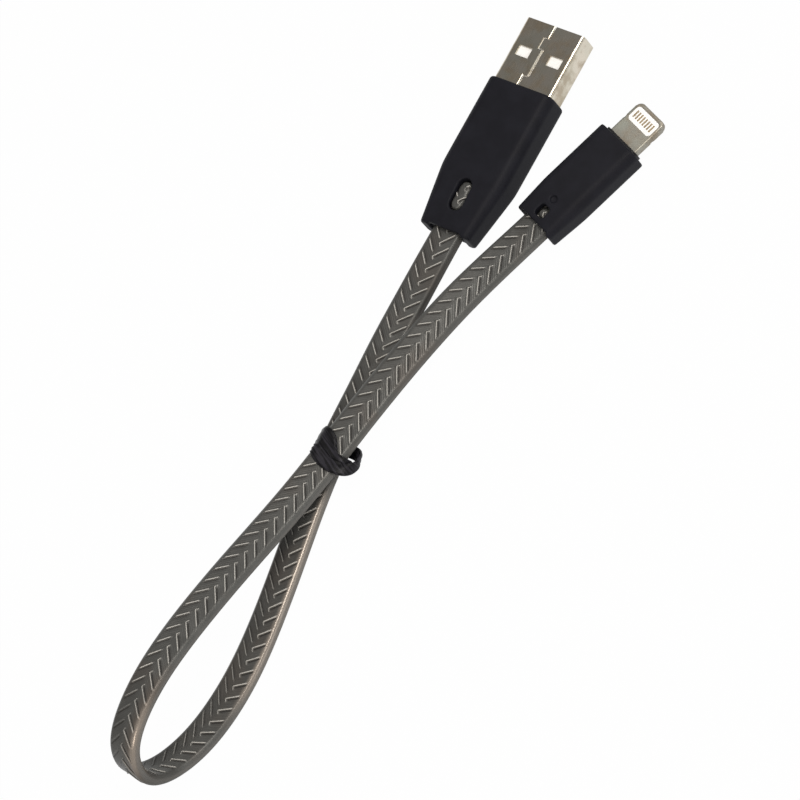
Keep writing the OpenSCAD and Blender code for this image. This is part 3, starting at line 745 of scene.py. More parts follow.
@dataclass(frozen=True)
class Mound:
    """A flat-topped oval mound of the strap's skin in a plug's window."""

    middle: float
    half_length: float
    half_width: float
    height: float
    slope: float = 0.3

    def rise(self, s: np.ndarray, v: np.ndarray) -> np.ndarray:
        """How far the skin rises at distances along and across the strap."""
        along = np.maximum(np.abs(s - self.middle) - (self.half_length - self.half_width), 0.0)
        t = np.clip((1.0 - np.sqrt(along**2 + v**2) / self.half_width) / self.slope, 0.0, 1.0)
        return t * t * (3 - 2 * t) * self.height


EMBOSS_SIZES = (
    "pitch", "far_outer", "far_inner", "near_inner", "near_outer", "far_run", "near_run", "lead",
    "ridge_width", "ridge_height", "hollow_depth", "hollow_off", "hook_along", "hook_across",
)


@dataclass
class Strap:
    """The flat cord: its route, its section and its herringbone emboss.

    The route's points hold a place in millimetres, and the turn and lift of the strap's width in
    degrees. The number of ribs up to some places along it is given, also in millimetres.
    """

    width: float = 6.05 * MM
    thickness: float = 1.9 * MM
    edge_breadth: float = 0.80 * MM
    edge_height: float = 0.95 * MM
    edge_power: float = 1.6
    edge_shares: tuple[float, ...] = (0.88, 0.76, 0.64, 0.5, 0.34, 0.17, 0.0, -0.2, -0.4, -0.6, -0.8)
    face_places: tuple[float, ...] = (
        -2.23, -1.9, -1.5, -1.0, -0.75, -0.6, -0.48, -0.36, -0.22, -0.08, 0.03, 0.12, 0.22, 0.34, 0.6,
        1.0, 1.4, 1.9, 2.24,
    )
    row_places: tuple[float, ...] = (
        -0.55, -0.42, -0.3, -0.2, -0.1, 0, 0.1, 0.2, 0.3, 0.42, 0.55, 0.78, 1.04, 1.3, 1.6,
    )
    row_gap: float = 0.1 * MM
    end_fade: float = 4 * MM
    pitch: float = 2.48 * MM
    far_outer: float = -2.23 * MM
    far_inner: float = -0.48 * MM
    near_inner: float = 0.03 * MM
    near_outer: float = 2.24 * MM
    far_run: float = 1.84 * MM
    near_run: float = 2.56 * MM
    lead: float = 0.06 * MM
    ridge_width: float = 0.36 * MM
    ridge_height: float = 0.13 * MM
    hollow_depth: float = 0.05 * MM
    hollow_off: float = 0.23 * MM
    hook_along: float = 0.40 * MM
    hook_across: float = 0.24 * MM
    rib_places: tuple[float, ...] = (
        0, 14, 51, 64.9, 86.4, 107.2, 130.3, 140, 160.8, 176.5, 191.4, 231.5, 243.4
    )
    rib_counts: tuple[float, ...] = (-5.7, 0, 15, 21, 30, 39, 49, 53, 61, 67, 73, 89, 93.8)
    skew_places: tuple[float, ...] = (0, 50, 66, 108, 122)
    skews: tuple[float, ...] = (0, 0, 0.37, 0.37, 0)
    host_in: float = 12.25 * MM
    host_window_at: float = 6.6 * MM
    device_in: float = 6.7 * MM
    device_window_at: float = 2.35 * MM
    steps_per_point: int = 60
    tangent_step: float = 0.01
    path_points: int = 241
    route: np.ndarray = field(
        default_factory=lambda: np.array(
            [
                (-1.65, 0, 3.25, 0, 0), (-10.1, 0, 3.25, 0, 0), (-18.2, 0.2, 3.1, -1, -3),
                (-26.4, 1.05, 1.55, -2, -8), (-35, 1.25, 1.25, 0, -6), (-43.2, 0.85, 1.15, 3, -1),
                (-51.8, 0.2, 1.9, 5, 2), (-60, -0.6, 1.9, 7, 3), (-68.2, -1.7, 1.35, 10, 3),
                (-76.3, -3.3, 1.35, 11, 3), (-85, -4.8, 1.35, 9, 2), (-93.1, -5.65, 1.15, 3, -1),
                (-101.3, -5.55, 1.15, -6, -2), (-109.9, -4.2, 1.8, -12, 1), (-118.1, -2.4, 7.2, -7, 9),
                (-115.2, -0.95, 15.8, 3, 8), (-105.1, -0.4, 17.3, 5, 0), (-97, 0.1, 15.55, 1, -6),
                (-89.3, 0.4, 13.05, -2, -9), (-81.1, 0.3, 10.4, -4, -9), (-73.4, 0.1, 7.7, -5, -9),
                (-65.3, -0.4, 5.4, -6, -8), (-57.1, -1.25, 4.2, -7, -7), (-49, -2.4, 3.85, -9, -7),
                (-40.3, -3.85, 3.45, -11, -9), (-32.2, -5.5, 3.2, -14, -12), (-24, -7.8, 3.3, -17, -13),
                (-16.3, -10.4, 3.05, -20, -9), (-8.5, -13.5, 3.0356, -20, -4.5),
                (-0.65, -16.45, 3.0356, -20, -4.5),
            ]
        )
    )

    def __post_init__(self) -> None:
        """Measure the route and place the mounds in the windows."""
        last = len(self.route) - 1
        self.stations = np.linspace(0, last, self.steps_per_point * last + 1)
        middles = self.frames(self.stations)[0]
        steps = np.linalg.norm(np.diff(middles, axis=0), axis=1)
        self.distances = np.concatenate([[0.0], np.cumsum(steps)])
        self.length = float(self.distances[-1])
        self.host_mound = Mound(
            middle=self.host_in - self.host_window_at,
            half_length=2.85 * MM,
            half_width=1.32 * MM,
            height=1.5 * MM,
        )
        self.device_mound = Mound(
            middle=self.length - self.device_in + self.device_window_at,
            half_length=0.95 * MM,
            half_width=0.85 * MM,
            height=0.75 * MM,
        )

    def spline(self, u: np.ndarray) -> np.ndarray:
        """Points of the route's smooth curve: place, turn and lift at each station.

        Args:
            u: Stations, counted in the route's points.

        Returns:
            One row for each station.
        """
        p = self.route
        padded = np.vstack([2 * p[0] - p[1], p, 2 * p[-1] - p[-2]])
        i = np.minimum(np.floor(u).astype(int), len(p) - 2)
        f = (u - i)[:, None]
        return (
            (1 - f) ** 3 * padded[i]
            + (3 * f**3 - 6 * f**2 + 4) * padded[i + 1]
            + (-3 * f**3 + 3 * f**2 + 3 * f + 1) * padded[i + 2]
            + f**3 * padded[i + 3]
        ) / 6

    def frames(self, u: np.ndarray) -> Frames:
        """Frames of the strap at stations along its route.

        Args:
            u: Stations, counted in the route's points.

        Returns:
            Middles in metres, and the unit tangents, widths and normals.
        """
        here = self.spline(u)
        ahead = self.spline(np.minimum(u + self.tangent_step, len(self.route) - 1))
        behind = self.spline(np.maximum(u - self.tangent_step, 0))
        tangent = ahead[:, :3] - behind[:, :3]
        tangent /= np.linalg.norm(tangent, axis=1, keepdims=True)
        turn, lift = np.radians(here[:, 3]), np.radians(here[:, 4])
        level = np.cos(lift)
        lean = np.stack([np.sin(turn) * level, -np.cos(turn) * level, np.sin(lift)], axis=1)
        width = lean - np.sum(lean * tangent, axis=1, keepdims=True) * tangent
        width /= np.linalg.norm(width, axis=1, keepdims=True)
        return here[:, :3] * MM, tangent, width, np.cross(tangent, width)

    def at(self, s: np.ndarray) -> Frames:
        """Frames at distances along the strap."""
        return self.frames(np.interp(s, self.distances, self.stations))

    def shear(self, v: np.ndarray) -> np.ndarray:
        """How far a rib runs ahead of its outer end at each place across the strap."""
        places = (self.far_outer, self.far_inner, self.near_inner, self.near_outer)
        return np.interp(v, places, (0.0, self.far_run, self.lead + self.near_run, self.lead))

    def rows(self) -> np.ndarray:
        """Places of the mesh's rows along the pattern, close together on each ridge.

        Returns:
            The places, in order.
        """
        steps = np.array(self.row_places) * MM
        first, last = self.rib_counts[0], self.rib_counts[-1]
        ribs = range(math.floor(first) - 1, math.ceil(last) + 1)
        rows = np.concatenate([k * self.pitch + steps for k in ribs])
        low, high = first * self.pitch, last * self.pitch
        rows = rows[(rows > low + self.row_gap) & (rows < high - self.row_gap)]
        return np.concatenate([[low], rows, [high]])

    def along(self, q: np.ndarray) -> np.ndarray:
        """Distances along the strap of places along the pattern."""
        places = np.minimum(np.array(self.rib_places) * MM, self.length)
        return np.interp(q, np.array(self.rib_counts) * self.pitch, places)

    def profile(self, v: np.ndarray) -> np.ndarray:
        """Height of the face over the strap's middle at places across it."""
        u = np.clip((np.abs(v) - self.width / 2 + self.edge_breadth) / self.edge_breadth, 0.0, 1.0)
        fall = 1.0 - (1.0 - u**self.edge_power) ** (1 / self.edge_power)
        return self.thickness / 2 - self.edge_height * fall

    def section(self) -> tuple[np.ndarray, np.ndarray, np.ndarray]:
        """Walk round the section.

        Returns:
            Places across and up, how much of the emboss each takes and how far it turns to a side.
        """
        face = np.array(self.face_places) * MM
        points = list(zip(face, self.profile(face)))
        relief = [1.0] * len(face)
        turned = [0.0] * len(face)
        middle = self.width / 2 - self.edge_breadth
        bend = 2 / self.edge_power
        for side, last in ((1, face[-1]), (-1, -face[0])):
            start = math.acos(min(max((last - middle) / self.edge_breadth, 0.0), 1.0) ** (1 / bend))
            for share in self.edge_shares:
                out, rise = math.cos(start * share), math.sin(start * abs(share))
                height = math.copysign(self.edge_height * rise**bend, share)
                points.append((side * (middle + self.edge_breadth * out**bend), side * height))
                relief.append(0.0)
                steep = out ** (2 - bend) / self.edge_breadth
                turned.append(steep / math.hypot(steep, rise ** (2 - bend) / self.edge_height))
            if side > 0:
                points.extend((v, -h) for v, h in zip(face[::-1], self.profile(face[::-1])))
                relief.extend([1.0] * len(face))
                turned.extend([0.0] * len(face))
        return np.array(points), np.array(relief), np.array(turned)

    def skin(self) -> bpy.types.Object:
        """Make the strap's smooth skin, with rows that lie along the ribs.

        Returns:
            The skin, with its distances along and across as attributes.
        """
        rows = self.rows()
        section, relief, turned = self.section()
        fade = np.clip(np.minimum(rows - rows[0], rows[-1] - rows) / self.end_fade, 0, 1)
        v = np.broadcast_to(section[:, 0], (len(rows), len(section)))
        q = rows[:, None] + self.shear(section[:, 0])[None, :] * fade[:, None]
        s = self.along(q)
        s = s + np.interp(s, np.array(self.skew_places) * MM, self.skews) * v
        s = np.clip(s, 0.0, self.length)
        middle, _, width, normal = (a.reshape(*s.shape, 3) for a in self.at(s.ravel()))
        n = np.broadcast_to(section[:, 1], s.shape)
        swell = self.host_mound.rise(s, v) * (n > 0) + self.device_mound.rise(s, v) * (n < 0)
        lifted = n + np.sign(n) * swell * relief[None, :]
        skin = Maker.loft("strap", middle + v[..., None] * width + lifted[..., None] * normal)
        own = {Emboss.ALONG: q, Emboss.ACROSS: v, Emboss.RELIEF: relief, Emboss.SIDE: turned}
        for name, values in own.items():
            store = skin.data.attributes.new(name.value, "FLOAT", "POINT")
            spread = np.ascontiguousarray(np.broadcast_to(values, s.shape), np.float32)
            store.data.foreach_set("value", spread.ravel())
        return skin

    @staticmethod
    def herringbone(size: SimpleNamespace, along: Value, across: Value) -> tuple[Value, Value]:
        """Lay ribs on both halves of the strap, with a hook at the near ones' inner end.

        Args:
            size: The emboss's sizes, as values.
            along: Distance along the pattern.
            across: Distance from the strap's middle.

        Returns:
            Ridges and the hollows beside them, each from 0 to 1.
        """

        def bead(distance: Value, half: Value) -> Value:
            """A round bead that is 1 on its line and 0 from its half width on."""
            share = distance / half
            rise = (1.0 - share * share).at_least(0.0)
            return rise * rise

        half = size.ridge_width / 2
        end_share = 0.6
        soft = size.ridge_width * end_share
        slope_far = size.far_run / (size.far_inner - size.far_outer)
        slope_near = size.near_run / (size.near_outer - size.near_inner)
        from_far = along - slope_far * (across - size.far_outer)
        from_near = along - size.lead - slope_near * (size.near_outer - across)
        far_line = from_far.wrapped(size.pitch) / (slope_far * slope_far + 1.0).root()
        near_line = from_near.wrapped(size.pitch) / (slope_near * slope_near + 1.0).root()
        far_here = 1.0 - across.step(size.far_inner - soft / 2, size.far_inner + soft / 2)
        far_here = far_here * across.step(size.far_outer, soft + size.far_outer)
        near_here = across.step(size.near_inner - soft / 2, size.near_inner + soft / 2)
        near_here = near_here * (1.0 - across.step(size.near_outer - soft, size.near_outer))
        past_end = (along - size.lead - size.near_run).wrapped(size.pitch)
        beside = across - size.near_inner
        reach = size.hook_along * size.hook_along + size.hook_across * size.hook_across
        share = (past_end * size.hook_along + beside * size.hook_across) / reach
        share = share.at_least(0.0).at_most(1.0)
        off_along = past_end - share * size.hook_along
        off_across = beside - share * size.hook_across
        hook = bead((off_along * off_along + off_across * off_across).root(), half)
        ridge = (bead(far_line, half) * far_here).at_least(bead(near_line, half) * near_here)
        ridge = ridge.at_least(hook)
        off = size.hollow_off
        sunk = bead(far_line + off, off) * far_here
        sunk = sunk.at_least(bead(near_line - off, off) * near_here)
        return ridge, sunk * (1.0 - ridge)

    def emboss_tree(self, material: bpy.types.Material) -> bpy.types.NodeTree:
        """Build the tree that raises the herringbone on the skin.

        Args:
            material: What the skin is dressed in.

        Returns:
            The tree, with an input for each size that bears its field's name.
        """
        tree = bpy.data.node_groups.new("herringbone_emboss", "GeometryNodeTree")
        for way in ("INPUT", "OUTPUT"):
            tree.interface.new_socket("Geometry", in_out=way, socket_type="NodeSocketGeometry")
        for name in EMBOSS_SIZES:
            tree.interface.new_socket(name, in_out="INPUT", socket_type="NodeSocketFloat")
        graph = Graph(tree)
        given = graph.add("NodeGroupInput")
        size = SimpleNamespace(**{name: graph.out(given, name) for name in EMBOSS_SIZES})

        def held(name: Emboss) -> Value:
            """One of the skin's own numbers."""
            kind = "GeometryNodeInputNamedAttribute"
            return graph.out(graph.add(kind, {"data_type": "FLOAT"}, {"Name": name.value}), "Attribute")

        def passed(geometry: Value, kind: str, inputs: dict[str, Any], **settings: str) -> Value:
            """Send the skin through one more node."""
            return graph.out(graph.add(kind, settings, {"Geometry": geometry, **inputs}), "Geometry")

        relief = held(Emboss.RELIEF)
        ridge, sunk = self.herringbone(size, held(Emboss.ALONG), held(Emboss.ACROSS))
        height = (ridge * size.ridge_height - sunk * size.hollow_depth) * relief
        normal = graph.out(graph.add("GeometryNodeInputNormal"), "Normal")
        raised = {"Vector": normal, "Scale": height}
        offset = graph.add("ShaderNodeVectorMath", {"operation": "SCALE"}, raised)
        stored = {"Name": Emboss.HEIGHT.value, "Value": (ridge - sunk) * relief}
        skin = graph.out(given, "Geometry")
        skin = passed(skin, "GeometryNodeStoreNamedAttribute", stored, data_type="FLOAT", domain="POINT")
        skin = passed(skin, "GeometryNodeSetPosition", {"Offset": graph.out(offset)})
        skin = passed(skin, "GeometryNodeRealizeInstances", {})
        skin = passed(skin, "GeometryNodeSetMaterial", {"Material": material})
        graph.add("NodeGroupOutput", None, {"Geometry": skin})
        return tree

    def build(self, material: bpy.types.Material) -> bpy.types.Object:
        """Make the embossed strap.

        Args:
            material: Its finish.

        Returns:
            The strap, as one plain mesh.
        """
        strap = self.skin()
        change = strap.modifiers.new("emboss", "NODES")
        change.node_group = self.emboss_tree(material)
        for item in change.node_group.interface.items_tree:
            if item.name in EMBOSS_SIZES:
                change[item.identifier] = getattr(self, item.name)
        Maker.baked(strap)
        strap.data.shade_smooth()
        return strap

    def path(self) -> list[list[float]]:
        """Points along the strap's middle, for its measure."""
        return self.at(np.linspace(0.0, self.length, self.path_points))[0].tolist()


@dataclass
class Tie:
    """The soft band wound twice round both layers of the strap, loose and bunched on the near side.

    The route's points hold a place in millimetres, the lean of the band's outer face in degrees and
    the band's width in millimetres.
    """

    thickness: float = 0.42 * MM
    full_width: float = 2.7 * MM
    ripple: float = 0.64
    ripples: int = 3
    bunch: float = 1.35
    least_bunch: float = 0.42
    fold_rows: Stretch = (22.0, 23.5, 26.5, 28.0)
    fold_depth: float = 0.85
    fold_drop: float = 0.1 * MM
    fold_from: float = 0.3
    fold_slope: float = 0.2
    steps: int = 8
    sides: int = 32
    twice_round: float = 720.0
    route: np.ndarray = field(
        default_factory=lambda: np.array(
            [
                (-53.40, 0.60, 0.66, 0, 2.6), (-53.45, 2.20, 0.66, 5, 2.8),
                (-53.50, 2.80, 1.05, 50, 3.0), (-53.52, 3.22, 1.75, 92, 3.1),
                (-53.52, 3.04, 2.62, 120, 3.2), (-53.52, 2.16, 3.84, 128, 3.3),
                (-53.54, 1.28, 4.98, 138, 3.3), (-53.74, 0.34, 5.42, 176, 3.4),
                (-54.24, -0.62, 5.38, 184, 3.2), (-55.25, -1.92, 5.28, 187, 2.2),
                (-55.96, -3.05, 5.14, 190, 1.4), (-56.00, -4.30, 4.95, 205, 1.2),
                (-56.00, -5.05, 4.30, 255, 1.2), (-55.95, -5.00, 3.10, 290, 1.4),
                (-55.90, -4.00, 1.75, 308, 1.7), (-55.95, -2.75, 0.82, 335, 2.0),
                (-56.05, -0.80, 0.62, 360, 2.2), (-56.05, 1.75, 0.66, 365, 2.3),
                (-56.10, 2.48, 1.05, 408, 2.2), (-56.14, 2.74, 1.75, 452, 2.1),
                (-56.16, 2.64, 2.40, 468, 2.0), (-56.16, 2.10, 3.65, 473, 1.95),
                (-56.20, 1.46, 4.98, 490, 1.95), (-56.42, 0.66, 5.58, 530, 2.1),
                (-57.02, -0.80, 5.58, 546, 2.4), (-57.47, -2.40, 5.44, 547, 2.5),
                (-57.62, -4.00, 5.26, 550, 2.25), (-57.50, -5.30, 4.92, 568, 2.1),
                (-56.90, -6.15, 4.40, 598, 2.0), (-55.95, -6.55, 3.70, 622, 1.9),
                (-54.90, -6.25, 3.00, 638, 1.9), (-54.10, -5.50, 2.25, 655, 1.9),
                (-53.65, -4.35, 1.42, 680, 2.1), (-53.45, -2.85, 0.80, 708, 2.3),
                (-53.40, -1.00, 0.64, 720, 2.5),
            ]
        )
    )

    def track(self) -> np.ndarray:
        """Smooth closed run through the route: place, lean and width at each step.

        Returns:
            One row for each step.
        """
        round_again = np.array([0, 0, 0, self.twice_round, 0])
        p = self.route
        padded = np.vstack([p[-1] - round_again, p, p[0] + round_again, p[1] + round_again])
        rows = []
        for a, b, c, d in zip(padded, padded[1:], padded[2:], padded[3:]):
            for k in range(self.steps):
                t = k / self.steps
                bow = t * t * (2 * a - 5 * b + 4 * c - d) / 2 + t**3 * (3 * b - a - 3 * c + d) / 2
                rows.append(b + t * (c - a) / 2 + bow)
        return np.array(rows)

    def build(self, material: bpy.types.Material) -> bpy.types.Object:
        """Make the band.

        Args:
            material: Its finish.

        Returns:
            The band, as one plain closed mesh.
        """
        track = self.track()
        middle = track[:, :3] * MM
        lean = np.radians(track[:, 3])
        wide = track[:, 4] * MM
        tangent = np.roll(middle, -1, axis=0) - np.roll(middle, 1, axis=0)
        tangent /= np.linalg.norm(tangent, axis=1, keepdims=True)
        out = np.stack([np.zeros_like(lean), np.sin(lean), -np.cos(lean)], axis=1)
        across = np.cross(tangent, out)
        across /= np.linalg.norm(across, axis=1, keepdims=True)
        out = np.cross(across, tangent)
        angle = np.linspace(0.0, math.tau, self.sides, endpoint=False)
        side = np.sign(np.cos(angle)) * np.sqrt(np.abs(np.cos(angle)))
        face = np.sign(np.sin(angle)) * np.sqrt(np.abs(np.sin(angle)))
        outer = (face > 0)[None, :]
        bunched = np.maximum(self.bunch - wide / self.full_width, self.least_bunch)
        folds = np.cos(self.ripples * math.pi * side)[None, :] * outer * bunched[:, None]
        thick = self.thickness * np.sqrt(self.full_width / wide)
        deep = np.interp(np.arange(len(track)) / self.steps, self.fold_rows, (0.0, 1.0, 1.0, 0.0))
        inner_edge = np.clip((-self.fold_from - side) / self.fold_slope, 0.0, 1.0)
        sunk = deep[:, None] * inner_edge[None, :]
        kept = 1.0 - self.fold_depth * sunk * outer
        n = face[None, :] * thick[:, None] / 2 * (1 + self.ripple * folds) * kept
        n = n - self.fold_drop * sunk
        x = side[None, :] * wide[:, None] / 2
        rings = middle[:, None, :] + x[..., None] * across[:, None, :] + n[..., None] * out[:, None, :]
        tie = Maker.loft("tie", rings, round_again=True)
        Maker.dress(tie, material)
        return tie


@dataclass
class HostPlug:
    """The wide plug: its folded shell and its overmould."""

    level: float = 3.25 * MM
    tail_at: float = -13.9 * MM
    shell_height: float = 4.5 * MM
    shell_root: float = 5.85 * MM
    seat: Span = (12.1 * MM, 4.6 * MM)
    seat_edge: float = 0.75 * MM
    core: Span = (11.1 * MM, 4.5 * MM)
    core_from: float = 12.2 * MM
    core_lap: float = 0.1 * MM
    core_edge: float = 0.85 * MM
    window_at: float = 6.6 * MM
    window: Span = (5.8 * MM, 2.6 * MM)
    lip: float = 0.17 * MM
    seam_reach: Span = (-0.15 * MM, 1.2 * MM)
    on_top: float = 0.01 * MM

    def overmould(self, material: bpy.types.Material) -> bpy.types.Object:
        """Make the overmould.

        Args:
            material: Its finish.

        Returns:
            The overmould.
        """
        body = Overmould(
            "host_overmould_body",
            length=27.8 * MM,
            width=13.4 * MM,
            thickness=6.5 * MM,
            edge=1.8 * MM,
            tail=10.8 * MM,
            tail_width=10.2 * MM,
            tail_thickness=4.7 * MM,
        )
        seat_at = body.length - self.shell_root
        through = (-body.thickness, body.thickness)
        cutters = [
            bar("shell_seat", (seat_at, body.length + PAST_FACE), self.seat, self.seat_edge),
            bar("core", (self.core_from, seat_at + self.core_lap), self.core, self.core_edge),
            prism("window", self.window_at, self.window, self.window[1] / 2, through),
        ]
        return body.build(cutters, Matrix.Translation((self.tail_at, 0.0, self.level)), material)

    def shell(self, material: bpy.types.Material) -> bpy.types.Object:
        """Make the folded shell, with the lips of its seam broken.

        Args:
            material: Its finish.

        Returns:
            The shell.
        """
        top = self.level + self.shell_height / 2
        near, far = self.seam_reach

        def on_seam(start: Vector, end: Vector) -> bool:
            """Whether an edge runs lengthwise on the slit's upper lips."""
            upper = all(near < p.y < far and abs(p.z - top) < self.on_top for p in (start, end))
            return upper and abs(start.x - end.x) > abs(start.y - end.y)

        return softened("host_shell_sheet", "host_shell", self.lip, 1, on_seam, material)


@dataclass
class DevicePlug:
    """The slim plug: its tab and its overmould.

    It heads along the strap's last two points, given in millimetres as in the strap's route.
    """

    strap_before: Span = (-8.5, -13.5)
    strap_end: Span = (-0.65, -16.45)
    level: float = 3.0356 * MM
    lean: float = math.radians(4.5)
    strap_in: float = 6.7 * MM
    seat: Span = (8.3 * MM, 4.6 * MM)
    seat_from: float = 6.7 * MM
    seat_edge: float = 1.05 * MM
    window_at: float = 2.45 * MM
    window: Span = (2.2 * MM, 2.0 * MM)
    window_edge: float = 0.55 * MM
    mark_at: float = 5.1 * MM
    mark: Span = (1.3 * MM, 1.3 * MM)
    mark_floor: float = 2.27 * MM
    under_at: float = 3.65 * MM
    under: Span = (4.4 * MM, 2.1 * MM)
    tip_at: float = 26.5 * MM
    tip_rim: float = 0.36 * MM
    panel_half: float = 2.85 * MM
    tab_edge: float = 0.34 * MM
    rim_reach: float = 1.2 * MM
    rim_gain: float = 0.28 * MM

    def place(self) -> Matrix:
        """Where the plug's tail lies, with its length along the first axis."""
        (x0, y0), (x1, y1) = self.strap_before, self.strap_end
        heading = Matrix.Rotation(math.atan2(y1 - y0, x1 - x0), 4, "Z")
        end = Matrix.Translation((x1 * MM, y1 * MM, self.level))
        lean = Matrix.Rotation(self.lean, 4, "X")
        return end @ (heading @ lean) @ Matrix.Translation((-self.strap_in, 0.0, 0.0))

    def overmould(self, material: bpy.types.Material) -> bpy.types.Object:
        """Make the overmould.

        Args:
            material: Its finish.

        Returns:
            The overmould.
        """
        body = Overmould(
            "device_overmould_body",
            length=19.6 * MM,
            width=9.3 * MM,
            thickness=5.6 * MM,
            edge=1.7 * MM,
            tail=6.4 * MM,
            tail_width=8.5 * MM,
            tail_thickness=4.6 * MM,
            front_soft=0.3 * MM,
            voxel=0.13 * MM,
        )
        top = body.thickness
        cutters = [
            bar("seat", (self.seat_from, body.length + PAST_FACE), self.seat, self.seat_edge),
            prism("mark", self.mark_at, self.mark, self.mark[1] / 2, (self.mark_floor, top)),
            prism("window", self.window_at, self.window, self.window_edge, (0.0, top)),
            prism("under", self.under_at, self.under, self.under[1] / 2, (-top, 0.0)),
        ]
        return body.build(cutters, self.place(), material)

    def on_rim(self, own: Vector) -> bool:
        """Whether a place on the tab lies outside its contact panel, by the tip."""
        by_tip = own.x > self.tip_at - self.rim_reach and abs(own.y) > self.panel_half
        return by_tip or own.x > self.tip_at - self.tip_rim

    def tab(self, material: bpy.types.Material) -> bpy.types.Object:
        """Make the metal tab, with its tip's edges broken and its rim drawn out.

        Args:
            material: Its finish.

        Returns:
            The tab.
        """
        place = self.place()
        back = place.inverted()

        def at_tip(start: Vector, end: Vector) -> bool:
            """Whether an edge runs round the tab's tip."""
            return all(self.on_rim(back @ p) for p in (start, end))

        made = softened("device_tab", "tab_frame", self.tab_edge, 2, at_tip, material)
        for vertex in made.data.vertices:
            own = back @ vertex.co
            if self.on_rim(own):
                share = min(max((own.x - self.tip_at) / self.rim_reach + 1.0, 0.0), 1.0)
                own.x += share * self.rim_gain
                vertex.co = place @ own
        return made


def softened(
    name: str,
    node: str,
    edge: float,
    segments: int,
    chosen: Callable[[Vector, Vector], bool],
    material: bpy.types.Material,
) -> bpy.types.Object:
    """Copy a CAD node and break some of its sharp edges.

    Args:
        name: The new piece's name.
        node: The node that it stands for.
        edge: How far the broken edge reaches into each face.
        segments: Facets across the broken edge.
        chosen: Tells whether the edge between two places is broken.
        material: Its finish.

    Returns:
        The new piece.
    """
    shape = bmesh.new()
    shape.from_mesh(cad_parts[node].data)
    bmesh.ops.remove_doubles(shape, verts=shape.verts, dist=SAME_PLACE)
    bmesh.ops.dissolve_limit(shape, angle_limit=SAME_PLANE, verts=shape.verts, edges=shape.edges)
    sharp = [e for e in shape.edges if e.is_manifold and e.calc_face_angle(0.0) > SHARP_EDGE]
    broken = bmesh.ops.bevel(
        shape,
        geom=[e for e in sharp if chosen(*(v.co for v in e.verts))],
        offset=edge,
        offset_type="OFFSET",
        segments=segments,
        profile=0.5,
        affect="EDGES",
        clamp_overlap=False,
    )
    for face in shape.faces:
        face.smooth = True
    if segments == 1:
        for face in broken["faces"]:
            face.smooth = False
    mesh = bpy.data.meshes.new(name)
    shape.to_mesh(mesh)
    shape.free()
    piece = Maker.linked(name, mesh)
    mesh.set_sharp_from_angle(angle=SHADED_EDGE)
    flat = piece.modifiers.new("flat", "WEIGHTED_NORMAL")
    flat.keep_sharp = True
    flat.weight = 100
    Maker.baked(piece)
    Maker.dress(piece, material)
    return piece


@dataclass(frozen=True)
class Lamp:
    """A soft lamp that faces the cable: its direction and distance, its size and its light."""

    name: str
    way: Place
    distance: float
    size: Span
    watts: float
    colour: Colour = (1.0, 1.0, 1.0)
    in_gloss: bool = True

    def hang(self, target: Place) -> None:
        """Hang the lamp round a place.

        Args:
            target: What it faces.
        """
        data = bpy.data.lights.new(self.name, "AREA")
        data.shape = "RECTANGLE"
        data.size, data.size_y = self.size
        data.energy = self.watts
        data.color = self.colour
        made = Maker.linked(self.name, data)
        back = Vector(self.way).normalized()
        turn = back.to_track_quat("Z", "Y").to_matrix().to_4x4()
        made.matrix_world = Matrix.Translation(Vector(target) + back * self.distance) @ turn
        made.visible_glossy = self.in_gloss


